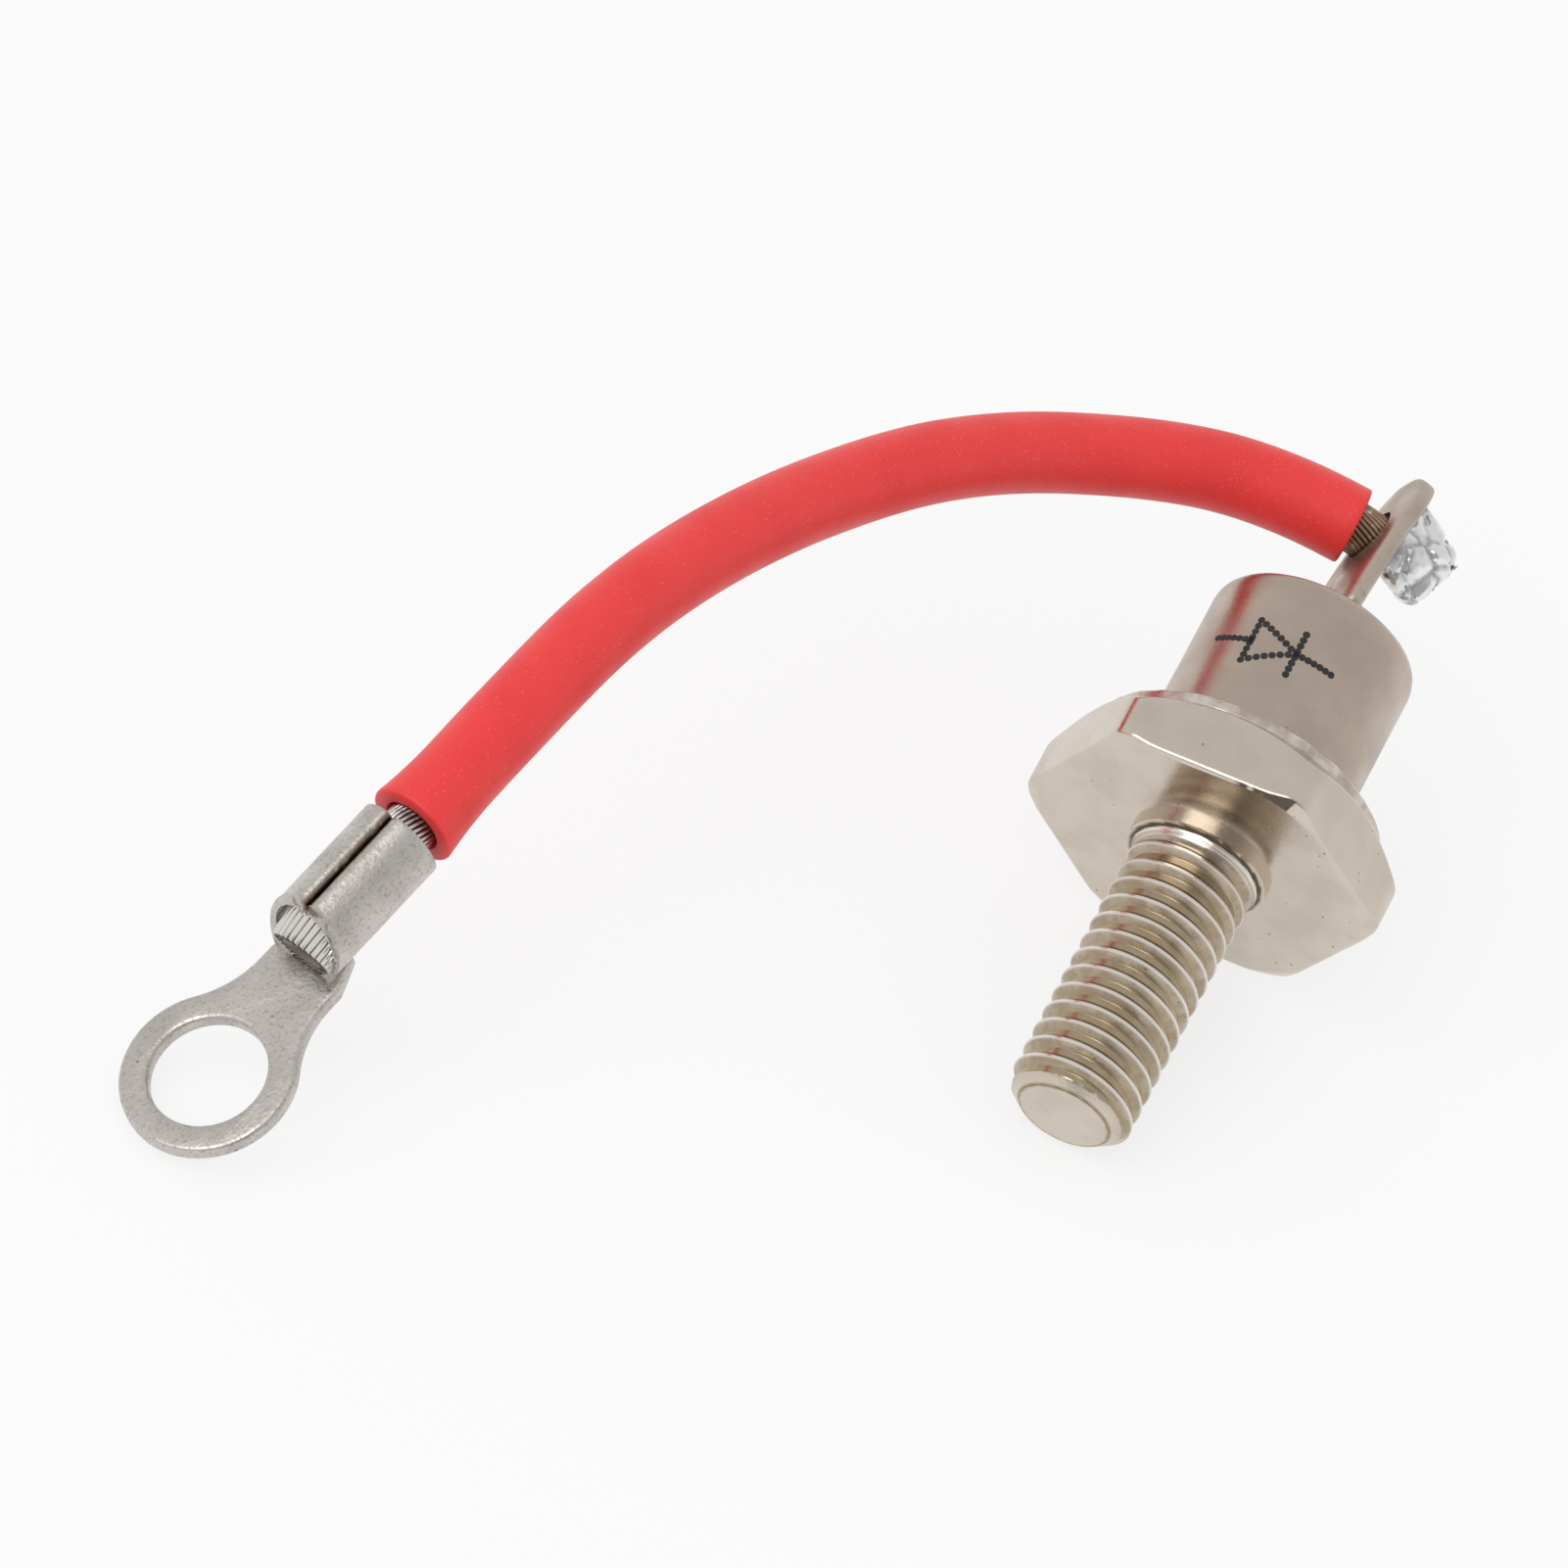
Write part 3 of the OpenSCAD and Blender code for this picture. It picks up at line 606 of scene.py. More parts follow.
def coordinates(mesh):
    """The points of a mesh as rows of an array."""
    flat = np.empty(len(mesh.vertices) * 3, np.float32)
    mesh.vertices.foreach_get("co", flat)
    return flat.reshape(-1, 3).astype(float)


def rounded(corners, steps=3):
    """Line through (a, b, radius) corners; those with a radius, never the ends, become arcs."""
    line = []
    for i, (a, b, radius) in enumerate(corners):
        here = Vector((a, b))
        if not radius:
            line.append(here)
            continue
        before = Vector(corners[i - 1][:2]) - here
        after = Vector(corners[i + 1][:2]) - here
        half = before.angle(after) / 2
        # the arcs at both ends of a side never meet
        reach = min(radius / tan(half), 0.49 * before.length, 0.49 * after.length)
        start, end = here + before.normalized() * reach, here + after.normalized() * reach
        for k in range(steps + 1):
            u = k / steps
            line.append((1 - u) ** 2 * start + 2 * u * (1 - u) * here + u ** 2 * end)
    return line


def quads(rows, count):
    """Faces between closed rows of so many points; the last row meets the first."""
    return [
        (i * count + k, i * count + (k + 1) % count,
         (i + 1) % rows * count + (k + 1) % count, (i + 1) % rows * count + k)
        for i in range(rows) for k in range(count)
    ]


def turned(name, outline, segments):
    """Mesh of a closed outline of (radius, height) points turned round the Z axis."""
    points = [
        (r * cos(2 * pi * k / segments), r * sin(2 * pi * k / segments), z)
        for k in range(segments) for r, z in outline
    ]
    return new_mesh(name, points, quads(segments, len(outline)))


def lofted(name, rings):
    """Mesh through closed rings of equal length, with both ends filled."""
    count = len(rings[0])
    points = [p for ring in rings for p in ring]
    last = (len(rings) - 1) * count
    faces = quads(len(rings), count)[:last]
    faces += [tuple(range(count)), tuple(last + k for k in range(count))]
    return new_mesh(name, points, faces)


def add_line(curve, spots, closed):
    """Adds a line of straight steps through points to a curve."""
    poly = curve.splines.new("POLY")
    poly.points.add(len(spots) - 1)
    for point, spot in zip(poly.points, spots):
        point.co = (*spot, 1)
    poly.use_cyclic_u = closed


def node_tree(name, sizes, takes_geometry):
    """Empty geometry tree with named sizes: its graph, the inputs as sockets, and their identifiers."""
    tree = bpy.data.node_groups.new(name, "GeometryNodeTree")
    graph = Graph(tree)
    inputs = {"Geometry": "NodeSocketGeometry"} if takes_geometry else {}
    inputs |= dict.fromkeys(sizes, "NodeSocketFloat")
    identifiers = {}
    for label, kind in inputs.items():
        identifiers[label] = tree.interface.new_socket(label, in_out="INPUT", socket_type=kind).identifier
    tree.interface.new_socket("Geometry", in_out="OUTPUT", socket_type="NodeSocketGeometry")
    entry = tree.nodes.new("NodeGroupInput")
    sockets = {label: Sock(graph, entry.outputs[label]) for label in inputs}
    return graph, sockets, identifiers


def close_tree(graph, geometry, material):
    """Ends a geometry tree in real geometry with its material."""
    real = graph.add("GeometryNodeRealizeInstances", {"Geometry": geometry})
    painted = graph.add("GeometryNodeSetMaterial", {"Geometry": real, "Material": material})
    graph.add("NodeGroupOutput", {"Geometry": painted})


def grown(name, data, graph, identifiers, values):
    """Mesh that a geometry tree makes from an object, with its inputs set before it is evaluated."""
    obj = linked(name, data)
    modifier = obj.modifiers.new(name, "NODES")
    modifier.node_group = graph.tree
    for label, value in values.items():
        modifier[identifiers[label]] = value
    return baked(obj)


# Threaded base: hex with a turned bevel on each face, stud with a rolled thread

def hex_reach(turn):
    """Distance from the axis to a flat or a rounded corner; corners stand at multiples of 60 degrees."""
    flat = HEX_AF / 2
    off = abs((turn + pi / 6) % (pi / 3) - pi / 6)
    centre = (flat - CORNER_R) / cos(pi / 6)
    if off < atan2(CORNER_R / 2, centre + CORNER_R * cos(pi / 6)):
        return centre * cos(off) + sqrt(CORNER_R ** 2 - (centre * sin(off)) ** 2)
    return flat / cos(pi / 6 - off)


def hex_mesh():
    """Hex, recess for the steel ring and pedestal: one outline for each direction round the axis."""
    # directions from a corner to the next in degrees, closest where the corners are rounded
    sector = [0.65 * k for k in range(9)] + [6.5] + list(range(9, 30, 3))
    sector += [30] + [60 - t for t in reversed(sector[1:])]
    turns = [radians(60 * k + t) for k in range(6) for t in sector]
    outlines = []
    for turn in turns:
        reach = hex_reach(turn)
        seat_r = min(SEAT_D / 2, reach - EDGE_R)
        top_r = min(HEX_TOP_D / 2, reach - EDGE_R)
        low = max((reach - SEAT_D / 2) * tan(radians(SEAT_SLOPE)), EDGE_R / 2)
        high = HEX_H - (reach - top_r) * tan(radians(TOP_SLOPE))
        outline = rounded([
            (0, 0, 0), (STUD_D / 2, 0, 0), (seat_r, 0, EDGE_R), (reach, low, EDGE_R), (reach, high, EDGE_R),
            (top_r, HEX_H, EDGE_R), (WELD_D / 2, HEX_H, 0), (WELD_D / 2, HEX_H - WELD_T, 0),
            (PEDESTAL_D / 2, HEX_H - WELD_T, 0), (PEDESTAL_D / 2, HEX_H + PEDESTAL_H, 0),
            (0, HEX_H + PEDESTAL_H, 0),
        ])
        outlines.append([(r * cos(turn), r * sin(turn), z) for r, z in outline])
    count, sides = len(outlines[0]), len(outlines)
    # an outline stays open on the axis
    faces = [face for k, face in enumerate(quads(sides, count), 1) if k % count]
    mesh = new_mesh("hex", [p for outline in outlines for p in outline], faces)
    # the painted dark reflection keeps to the seat's bevel on one side of a corner: the points at both edges of that
    # face
    bevel_points = slice(4, 8)
    reflection_start, reflection_end = 1, 21
    stain = np.zeros((sides, count))
    for k, turn in enumerate(turns):
        stain[k, bevel_points] = reflection_start < (-turn) % (2 * pi) / radians(1) < reflection_end
    store(mesh, "crescent", stain.ravel())
    mesh.transform(Matrix.Rotation(radians(CORNER_TURN), 4, "Z"))
    return mesh


def stud_mesh():
    """Stud as a grid wound round the axis, whose rows follow the thread."""
    sides = 96
    # the grid starts sunk in the hex, and has spare rows at both ends that close on the axis
    sunk, spare = 0.4, 1.2
    end_closing, sunk_closing = 2, 3
    step = THREAD_PITCH / THREAD_ROWS
    rows = round((STUD_LEN + sunk + 2 * spare + THREAD_PITCH) / step)
    values = {
        "Radius": STUD_D / 2, "Depth": THREAD_DEPTH, "Pitch": THREAD_PITCH, "Length": STUD_LEN,
        "End radius": STUD_END_D / 2, "Bevel": STUD_BEVEL, "Collar": COLLAR_W, "Collar height": COLLAR_H,
    }
    g, size, identifiers = node_tree("rolled_thread", values, False)
    length, plain = size["Length"], size["Collar height"]
    grid = g.add("GeometryNodeMeshGrid", {
        "Size X": 1, "Size Y": 1, "Vertices X": sides + 1, "Vertices Y": rows + 1
    })
    spot = g.add("GeometryNodeInputPosition")
    across = g.add("ShaderNodeSeparateXYZ", {"Vector": spot}, 0) + 0.5
    down = g.add("ShaderNodeSeparateXYZ", {"Vector": spot}, 1) + 0.5
    run = down * (rows * step) - (sunk + spare + THREAD_PITCH) + across * size["Pitch"]
    # the points nearest to an edge move onto it
    half_row = 0.505 * step
    for edge in (plain - size["Collar"], plain, length):
        run = run + (edge - run) * g.math("COMPARE", run, edge, half_row)
    depth = g.clamp(run, -sunk, length)
    # one turn of the thread: narrow crest, straight flanks and a wider root
    crest_share, flank_share = 0.1, 0.55
    phase = g.math("FRACT", depth / size["Pitch"] - across)
    groove = g.clamp((g.math("ABSOLUTE", phase * 2 - 1) - crest_share) / flank_share)
    groove = groove * g.smooth(depth, plain, plain + 0.5)
    thread_r = size["Radius"] - size["Depth"] * groove
    fillet = g.clamp((plain - depth) / size["Collar"])
    collar_r = size["Radius"] + size["Collar"] * (1 - g.math("SQRT", 1 - fillet * fillet))
    stud_r = g.math("MAXIMUM", thread_r, collar_r * g.math("LESS_THAN", depth, plain))
    slope = (length - depth) / size["Bevel"]
    bevel_r = size["End radius"] + slope * (size["Radius"] - size["End radius"])
    stud_r = g.math("MINIMUM", stud_r, bevel_r)
    # both ends close on the axis
    past = g.math("MAXIMUM", run - length, 0.0) * end_closing
    past = past + g.math("MAXIMUM", -sunk - run, 0.0) * sunk_closing
    stud_r = g.math("MAXIMUM", stud_r - past, 0.0)
    turn = across * (2 * pi)
    wrapped = g.add("ShaderNodeCombineXYZ", {
        "X": stud_r * g.math("COSINE", turn), "Y": stud_r * g.math("SINE", turn), "Z": depth * -1
    })
    # soiled roots, a painted dark reflection low on the collar, a painted highlight just under it and a painted dark
    # reflection round the end
    soil_and_painted_reflection = groove * g.math("LESS_THAN", thread_r, bevel_r)
    under = g.smooth(depth, plain * 0.5, plain * 0.56) * g.smooth(depth, plain * 0.74, plain * 0.68)
    painted_lip_highlight = g.smooth(depth, plain * 0.7, plain * 0.76) * g.smooth(depth, plain + 0.12, plain)
    painted_end_reflection = g.smooth(depth, length - 0.14, length - 0.06) * g.smooth(past, 0.16, 0.04)
    worn = g.smooth(depth, plain * 0.5, plain * 0.6) * g.smooth(depth, length - 0.1, length - 0.5)
    worn = worn * (0.3 + 0.7 * g.smooth(soil_and_painted_reflection, 0.0, 0.3))
    cut = g.math("LESS_THAN", thread_r, bevel_r) * g.math("GREATER_THAN", depth, plain + 0.2)
    crest = g.math("MAXIMUM", g.math("LESS_THAN", groove, 0.02) * cut, painted_lip_highlight)
    soil_and_painted_reflection = g.math("MAXIMUM", soil_and_painted_reflection, g.math("MAXIMUM", under * 1.7, painted_end_reflection * 1.35))
    # fields read the flat grid, so the attributes are stored before it is wrapped
    fields = {"groove": soil_and_painted_reflection, "tarnish": worn * (1 - painted_lip_highlight), "crest": crest}
    for label, value in fields.items():
        grid = g.add("GeometryNodeStoreNamedAttribute", {"Geometry": grid, "Name": label, "Value": value})
    shaped = g.add("GeometryNodeSetPosition", {"Geometry": grid, "Position": wrapped})
    sewn = g.add("GeometryNodeMergeByDistance", {"Geometry": shaped, "Distance": 1e-4})
    close_tree(g, sewn, nickel)
    return grown("stud", bpy.data.meshes.new("stud"), g, identifiers, values)


def threaded_base():
    """Hex and stud as one piece."""
    mesh = joined("threaded_base", [hex_mesh(), stud_mesh()])
    mesh.transform(DIODE)
    return piece("threaded_base", mesh, nickel, 30)


# Cap with its welded flange

def welded_cap():
    """Drawn shell; the flange's edge is uneven where it was welded."""
    bore = SEAL_D / 2
    wall = CAP_D / 2 - CAP_WALL
    weld_w, weld_fade = 0.55, 0.4
    shrink, lump_out, lump_up = 0.004, 0.004, 0.03
    outline = rounded([
        (wall, 0, 0), (FLANGE_D / 2, 0, 0.12), (FLANGE_D / 2, FLANGE_T, 0.22), (CAP_D / 2, FLANGE_T, 0.35),
        (CAP_D / 2, CAP_H, CAP_ROUND), (bore, CAP_H, 0.12), (bore, CAP_H - SEAL_LEN, 0),
        (bore + CAP_WALL, CAP_H - SEAL_LEN, 0.1), (bore + CAP_WALL, CAP_H - CAP_WALL, 0.1),
        (wall, CAP_H - CAP_WALL, 0.3), (wall, 0, 0),
    ], 6)[:-1]
    mesh = turned("welded_cap", outline, 240)
    spots = coordinates(mesh)
    reach = np.hypot(spots[:, 0], spots[:, 1])
    weld = np.clip((reach - FLANGE_D / 2 + weld_w) / weld_fade, 0, 1)
    store(mesh, "weld", weld)
    for vertex, amount in zip(mesh.vertices, weld):
        if amount > 0:
            lump = noise.fractal(vertex.co * 1.1, 1.0, 2.0, 2)
            vertex.co.xy *= 1 + amount * (lump_out * lump - shrink)
            vertex.co.z = max(vertex.co.z + amount * lump_up * lump, 0)
    mesh.transform(Matrix.Translation((0, 0, HEX_H)))
    mesh.transform(DIODE)
    return piece("welded_cap", mesh, cap_nickel)


# Terminal lug: round tube below, pressed flat above the glass, with an eye

def lug_section(height):
    """Half sizes of the lug at a height above the cap, and the power of its section: 2 is round."""
    u = min(max(height / NECK_LEN, 0), 1)
    u = u * u * (3 - 2 * u)
    half_t = TUBE_D / 2 + u * (LUG_T / 2 - TUBE_D / 2)
    half_w = TUBE_D / 2 + u * (LUG_W / 2 - TUBE_D / 2)
    tip = height - (LUG_LEN - LUG_W / 2)
    if tip > 0:
        half_w = sqrt(max((LUG_W / 2) ** 2 - tip ** 2, 0.0))
    return half_t, half_w, 2 + 1.4 * u


def lug_blade():
    """Tube and blade as one loft; the eye and the pin's bore are cut out."""
    sides = 56
    low = -SEAL_LEN - TUBE_TAIL
    straight = LUG_LEN - LUG_W / 2
    tip_len, tip_thin = 0.5, 0.35
    # rows of the tube, the neck, the straight blade and the round tip
    heights = [low, low + 0.05, -0.3, 0]
    heights += [NECK_LEN * k / 12 for k in range(1, 13)]
    heights += [NECK_LEN + (straight - NECK_LEN) * k / 10 for k in range(1, 11)]
    heights += [straight + LUG_W / 2 * sin(radians(90 * k / 16)) for k in range(1, 15)]
    heights += [LUG_LEN - SLACK]
    rings = []
    for height in heights:
        half_t, half_w, power = lug_section(height)
        if height > LUG_LEN - tip_len:
            half_t *= 1 - tip_thin * ((height - LUG_LEN + tip_len) / tip_len) ** 2
        bend = LUG_BEND * (max(height - NECK_LEN, 0) / (LUG_LEN - NECK_LEN)) ** 2
        ring = []
        for k in range(sides):
            turn = 2 * pi * k / sides
            c, s = cos(turn), sin(turn)
            ring.append((
                bend + half_t * abs(c) ** (2 / power) * (1 if c > 0 else -1),
                half_w * abs(s) ** (2 / power) * (1 if s > 0 else -1), height
            ))
        rings.append(ring)
    blade = linked("lug_blade", lofted("lug_blade", rings))
    eye_place = Matrix.Translation((0, 0, EYE_H)) @ Matrix.Rotation(pi / 2, 4, "Y")
    holes = [
        (48, BORE_R + EYE_FIT, 3 * LUG_T, eye_place),
        (32, PIN_D / 2 + PIN_FIT, 2 * PIN_GRIP, Matrix.Translation((0, 0, low))),
    ]
    work = bmesh.new()
    for segments, radius, depth, place in holes:
        bmesh.ops.create_cone(
            work, cap_ends=True, segments=segments, radius1=radius, radius2=radius,
            depth=depth, matrix=place
        )
    drills = bpy.data.meshes.new("drills")
    work.to_mesh(drills)
    work.free()
    cutter = linked("drills", drills)
    cut = blade.modifiers.new("holes", "BOOLEAN")
    cut.object = cutter
    mesh = baked(blade)
    bpy.data.objects.remove(cutter)
    mesh.transform(LUG)
    return piece("lug_blade", mesh, lug_tin)


def solder_lump():
    """Solder over the folded strands: the solid's own form, remeshed and crumpled."""
    facets, facet_edge, fold_w = 0.75, 0.4, 0.16
    wave, fold_depth, facet_level = 0.08, 0.42, 0.32
    lump = linked("solder_lump", frame["nodes"]["lug_solder"].data.copy())
    remesh = lump.modifiers.new("remesh", "REMESH")
    remesh.mode = "VOXEL"
    remesh.voxel_size = 0.1 * MM
    mesh = baked(lump)
    folds = []
    to_lug = LUG.inverted()
    for vertex in mesh.vertices:
        spot = vertex.co / MM
        # painted shadow close to the blade below the eye, and painted shade in the folds between facets
        behind, _, height = to_lug @ vertex.co
        dull_and_painted_shadow = min(max(1.2 - (behind - LUG_T / 2) / 1.5, 0), 1) * min(max(EYE_H + 0.6 - height, 0), 1)
        near, next_near = noise.voronoi(spot * facets)[0][:2]
        crease = min(next_near - near, facet_edge)
        rough = noise.fractal(spot * 1.1, 1.0, 2.1, 2)
        folds.append(max(1 - crease / fold_w, dull_and_painted_shadow, 0))
        vertex.co += vertex.normal * MM * (wave * rough + fold_depth * (crease - facet_level))
    store(mesh, "fold", folds)
    return piece("solder_lump", mesh, solder, 60)


# Lead: red insulation over twisted strands

def spline(p, u):
    """Point on a Catmull-Rom curve between the middle two of four points."""
    return (
        p[1] + u / 2 * (p[2] - p[0]) + u * u * (p[0] - 2.5 * p[1] + 2 * p[2] - p[3] / 2)
        + u * u * u / 2 * (3 * p[1] - p[0] - 3 * p[2] + p[3])
    )


def lead_line(steps):
    """Centreline from the eye to the barrel, square to the lug and in line with the barrel."""
    points = [Vector(p) for p in ROUTE]
    reach = points[1].length
    points = [LUG_OUT * reach] + points + [points[-1] - ring_way * reach]
    line = []
    for i in range(len(points) - 3):
        line += [EYE + spline(points[i:i + 4], k / steps) for k in range(steps)]
    return line + [barrel_back]


def trimmed(line, start, end):
    """A line cut short by so many metres at its start and end."""
    first = line[0] + (line[1] - line[0]).normalized() * start
    last = line[-1] + (line[-2] - line[-1]).normalized() * end
    gap = 0.25 * MM
    middle = [p for p in line if (p - line[0]).length > start + gap and (p - line[-1]).length > end + gap]
    return [first] + middle + [last]


def swept(line, profile, sides):
    """Rings round a line; profile gives (radius, shift along it) at its start, mirrored at its end."""
    ways = [(line[min(i + 1, len(line) - 1)] - line[max(i - 1, 0)]).normalized() for i in range(len(line))]
    side = ways[0].cross(Vector((0, 0, 1))).normalized()
    frames = []
    for way in ways:
        side = (side - side.dot(way) * way).normalized()
        frames.append((side.copy(), way.cross(side)))
    turns = [2 * pi * k / sides for k in range(sides)]

    def ring(i, radius, shift):
        across, up = frames[i]
        middle = line[i] + ways[i] * shift
        return [middle + radius * (cos(turn) * across + sin(turn) * up) for turn in turns]
    last = len(line) - 1
    rings = [ring(0, radius, shift) for radius, shift in profile]
    rings += [ring(i, profile[-1][0], 0) for i in range(1, last)]
    rings += [ring(last, radius, -shift) for radius, shift in reversed(profile)]
    return rings


def insulation(line):
    """Tube with softly cut ends; the one at the terminal is a little flared."""
    sides = 48
    edge, flare_len = 0.12 * MM, 3.5 * MM
    outer, inner = (INSUL_R - SLACK) * MM, BORE_R * MM
    cut_end = [(inner, 0), (outer - edge, 0), (outer - 0.3 * edge, 0.3 * edge), (outer, edge)]
    rings = swept(line, cut_end, sides)
    for ring in rings:
        middle = sum(ring, Vector()) / sides
        near = max(1 - (middle - line[-1]).length / flare_len, 0)
        grow = 1 + CUT_FLARE / INSUL_R * near ** 2
        for k, spot in enumerate(ring):
            ring[k] = middle + (spot - middle) * grow
    rings += reversed(swept(line, [(inner, 0)], sides)[1:-1])
    points = [p for ring in rings for p in ring]
    mesh = new_mesh("red_insulation", points, quads(len(rings), sides))
    return piece("red_insulation", mesh, rubber, 50)


def moved_by(matrix, spots):
    """Rows of points taken through a matrix."""
    matrix = np.array(matrix)
    return spots @ matrix[:3, :3].T + matrix[:3, 3]


def spread_in_scoop(spots):
    """Strands splayed in the barrel's mouth and pressed flat before it, and how deep each point lies."""
    splay_start, splay_len, splay_w, splay_h = 0.9, 1.2, 0.4, 0.3
    press_start, press_len, flatten, drop = -0.2, 1.3, 0.7, 0.55
    local = moved_by(TERMINAL.inverted(), spots)
    sunk = (BORE_R - np.hypot(local[:, 1], local[:, 2] - BARREL_Z)) / (STRAND_D / 2)
    sunk = np.clip(sunk, 0, 1) * (local[:, 0] < RING_REACH + BARE_RING)
    splay = np.clip((BARREL_FRONT + splay_start - local[:, 0]) / splay_len, 0, 1)
    press = np.clip((BARREL_FRONT + press_start - local[:, 0]) / press_len, 0, 1)
    local[:, 1] *= 1 + splay_w * splay
    height = (local[:, 2] - BARREL_Z) * (1 + splay_h * splay - flatten * press)
    local[:, 2] = BARREL_Z + height - drop * press
    return moved_by(TERMINAL, local), sunk


def strand_bundle(line):
    """Two layers of twisted strands round a core, laid along a line by a node tree."""
    g, size, identifiers = node_tree("twisted_strands", ("Strand radius", "Lay"), True)

    def wire_along(path, sides, radius):
        circle = g.add("GeometryNodeCurvePrimitiveCircle", {"Resolution": sides, "Radius": radius})
        values = {"Curve": path, "Profile Curve": circle, "Fill Caps": True}
        return g.add("GeometryNodeCurveToMesh", values)
    rows, layer_step, room = 150, 0.85 * STRAND_D, 1.02
    smooth_line = g.add("GeometryNodeResampleCurve", {"Curve": size["Geometry"], "Count": rows})
    parts = []
    outer = BORE_R - STRAND_D / 2
    for reach in (outer, outer - layer_step):
        count = int(2 * pi * reach / (STRAND_D * room))
        values = {"Geometry": smooth_line, "Amount": count}
        copies = g.add("GeometryNodeDuplicateElements", values, domain="SPLINE")
        number = Sock(g, copies.socket.node.outputs["Duplicate Index"])
        run = g.add("GeometryNodeSplineParameter", None, "Length")
        turn = number * (2 * pi / count) + run / size["Lay"] * (2 * pi)
        way = g.add("GeometryNodeInputTangent")
        across = g.add("GeometryNodeInputNormal")
        up = g.vector("CROSS_PRODUCT", way, across)
        offset = g.vector(
            "ADD", g.scaled(across, g.math("COSINE", turn) * (reach * MM)),
            g.scaled(up, g.math("SINE", turn) * (reach * MM))
        )
        moved = g.add("GeometryNodeSetPosition", {"Geometry": copies, "Offset": offset})
        parts.append(wire_along(moved, 8, size["Strand radius"]))
    parts.append(wire_along(smooth_line, 24, (outer - STRAND_D) * MM))
    join = g.tree.nodes.new("GeometryNodeJoinGeometry")
    for part in parts:
        g.tree.links.new(part.socket, join.inputs["Geometry"])
    close_tree(g, Sock(g, join.outputs[0]), wire)
    curve = bpy.data.curves.new("lead_strands", "CURVE")
    curve.dimensions = "3D"
    add_line(curve, line, False)
    values = {"Strand radius": STRAND_D / 2 * MM, "Lay": STRAND_LAY * MM}
    mesh = grown("lead_strands", curve, g, identifiers, values)
    spots, sunk = spread_in_scoop(coordinates(mesh))
    mesh.vertices.foreach_set("co", spots.astype(np.float32).ravel())
    stain_from, stain_fade = 2 * MM, 4 * MM
    far = np.linalg.norm(spots - np.array(EYE), axis=1)
    store(mesh, "stain", np.clip(1 - (far - stain_from) / stain_fade, 0, 1))
    store(mesh, "sunk", sunk)
    return piece("lead_strands", mesh, wire, 60)


# Ring terminal: one stamped sheet

def arc(centre, radius, start, end, steps):
    """Points on an arc, with both of its ends."""
    turns = [start + (end - start) * k / steps for k in range(steps + 1)]
    return [(centre[0] + radius * cos(turn), centre[1] + radius * sin(turn)) for turn in turns]


def plate_mesh():
    """Ring and tab with softly broken edges, filled as a flat curve with a bevel."""
    ring_r = RING_D / 2
    reach = sqrt((ring_r + NECK_R) ** 2 - (BARREL_R + NECK_R) ** 2)
    meet = atan2(BARREL_R + NECK_R, reach)
    tail = sqrt(BARREL_R ** 2 - (BARREL_Z - RING_T) ** 2)
    half = arc((0, 0), ring_r, pi, meet, 48)
    half += arc((reach, BARREL_R + NECK_R), NECK_R, pi + meet, 1.5 * pi, 20)[1:]
    half += [(SCOOP_FRONT, BARREL_R), (BARREL_FRONT, tail)]
    outline = half + [(x, -y) for x, y in reversed(half)][:-1]
    hole = arc((0, 0), RING_HOLE / 2, 0, 2 * pi, 72)[:-1]
    edge = 0.22
    curve = bpy.data.curves.new("plate", "CURVE")
    curve.dimensions = "2D"
    curve.fill_mode = "BOTH"
    curve.bevel_depth = edge
    curve.bevel_resolution = 3
    curve.extrude = RING_T / 2 - edge
    curve.offset = -edge
    for loop in (outline, hole):
        add_line(curve, [(x, y, 0) for x, y in loop], True)
    mesh = baked(linked("plate", curve))
    mesh.transform(Matrix.Translation((0, 0, RING_T / 2)))
    return mesh


def barrel_mesh():
    """Rolled barrel and scoop: a strip round the bore whose edges turn in and meet on top."""
    turns, rows = 96, 34
    open_half, dip_half = radians(1.8), radians(18)
    dip, edge, rim_share = 0.3, 0.1, 0.25
    cut_low = RING_T + BARREL_LIFT
    cut_high = BARREL_Z + BARREL_R + 0.5

    def section(turn, radius):
        """Point of the section at an angle from the seam, which is on top."""
        near = max(1 - (turn if turn < pi else 2 * pi - turn) / dip_half, 0)
        radius -= dip * near ** 2
        return radius * sin(turn), BARREL_Z + radius * cos(turn)

    def front(z):
        """Where the slanting front end lies at a height."""
        share = min(max((z - cut_low) / (cut_high - cut_low), 0), 1)
        return SCOOP_FRONT + share * SCOOP_LEN
    angles = [open_half + (2 * pi - 2 * open_half) * k / turns for k in range(turns + 1)]
    broken = [edge if k in (0, turns) else 0 for k in range(turns + 1)]
    outside = [section(angle, BARREL_R - cut) for angle, cut in zip(angles, broken)]
    inside = [section(angle, BORE_R + cut) for angle, cut in zip(angles, broken)]
    loop = outside + inside[::-1]
    rings = []
    for row in range(rows + 1):
        u = row / rows
        # the sheet thins towards its front end
        flare = 1 + RIM_THIN / BORE_R * max(1 - u / rim_share, 0)
        ring = []
        for k, (y, z) in enumerate(loop):
            pull = 1 if k <= turns else flare
            x = front(z) + u * (RING_REACH - front(z))
            ring.append((x, y * pull, BARREL_Z + (z - BARREL_Z) * pull))
        rings.append(ring)
    barrel = linked("barrel", lofted("barrel", rings))
    soft = barrel.modifiers.new("soft", "BEVEL")
    soft.width = 0.07
    soft.segments = 2
    soft.limit_method = "ANGLE"
    soft.angle_limit = radians(50)
    return baked(barrel)


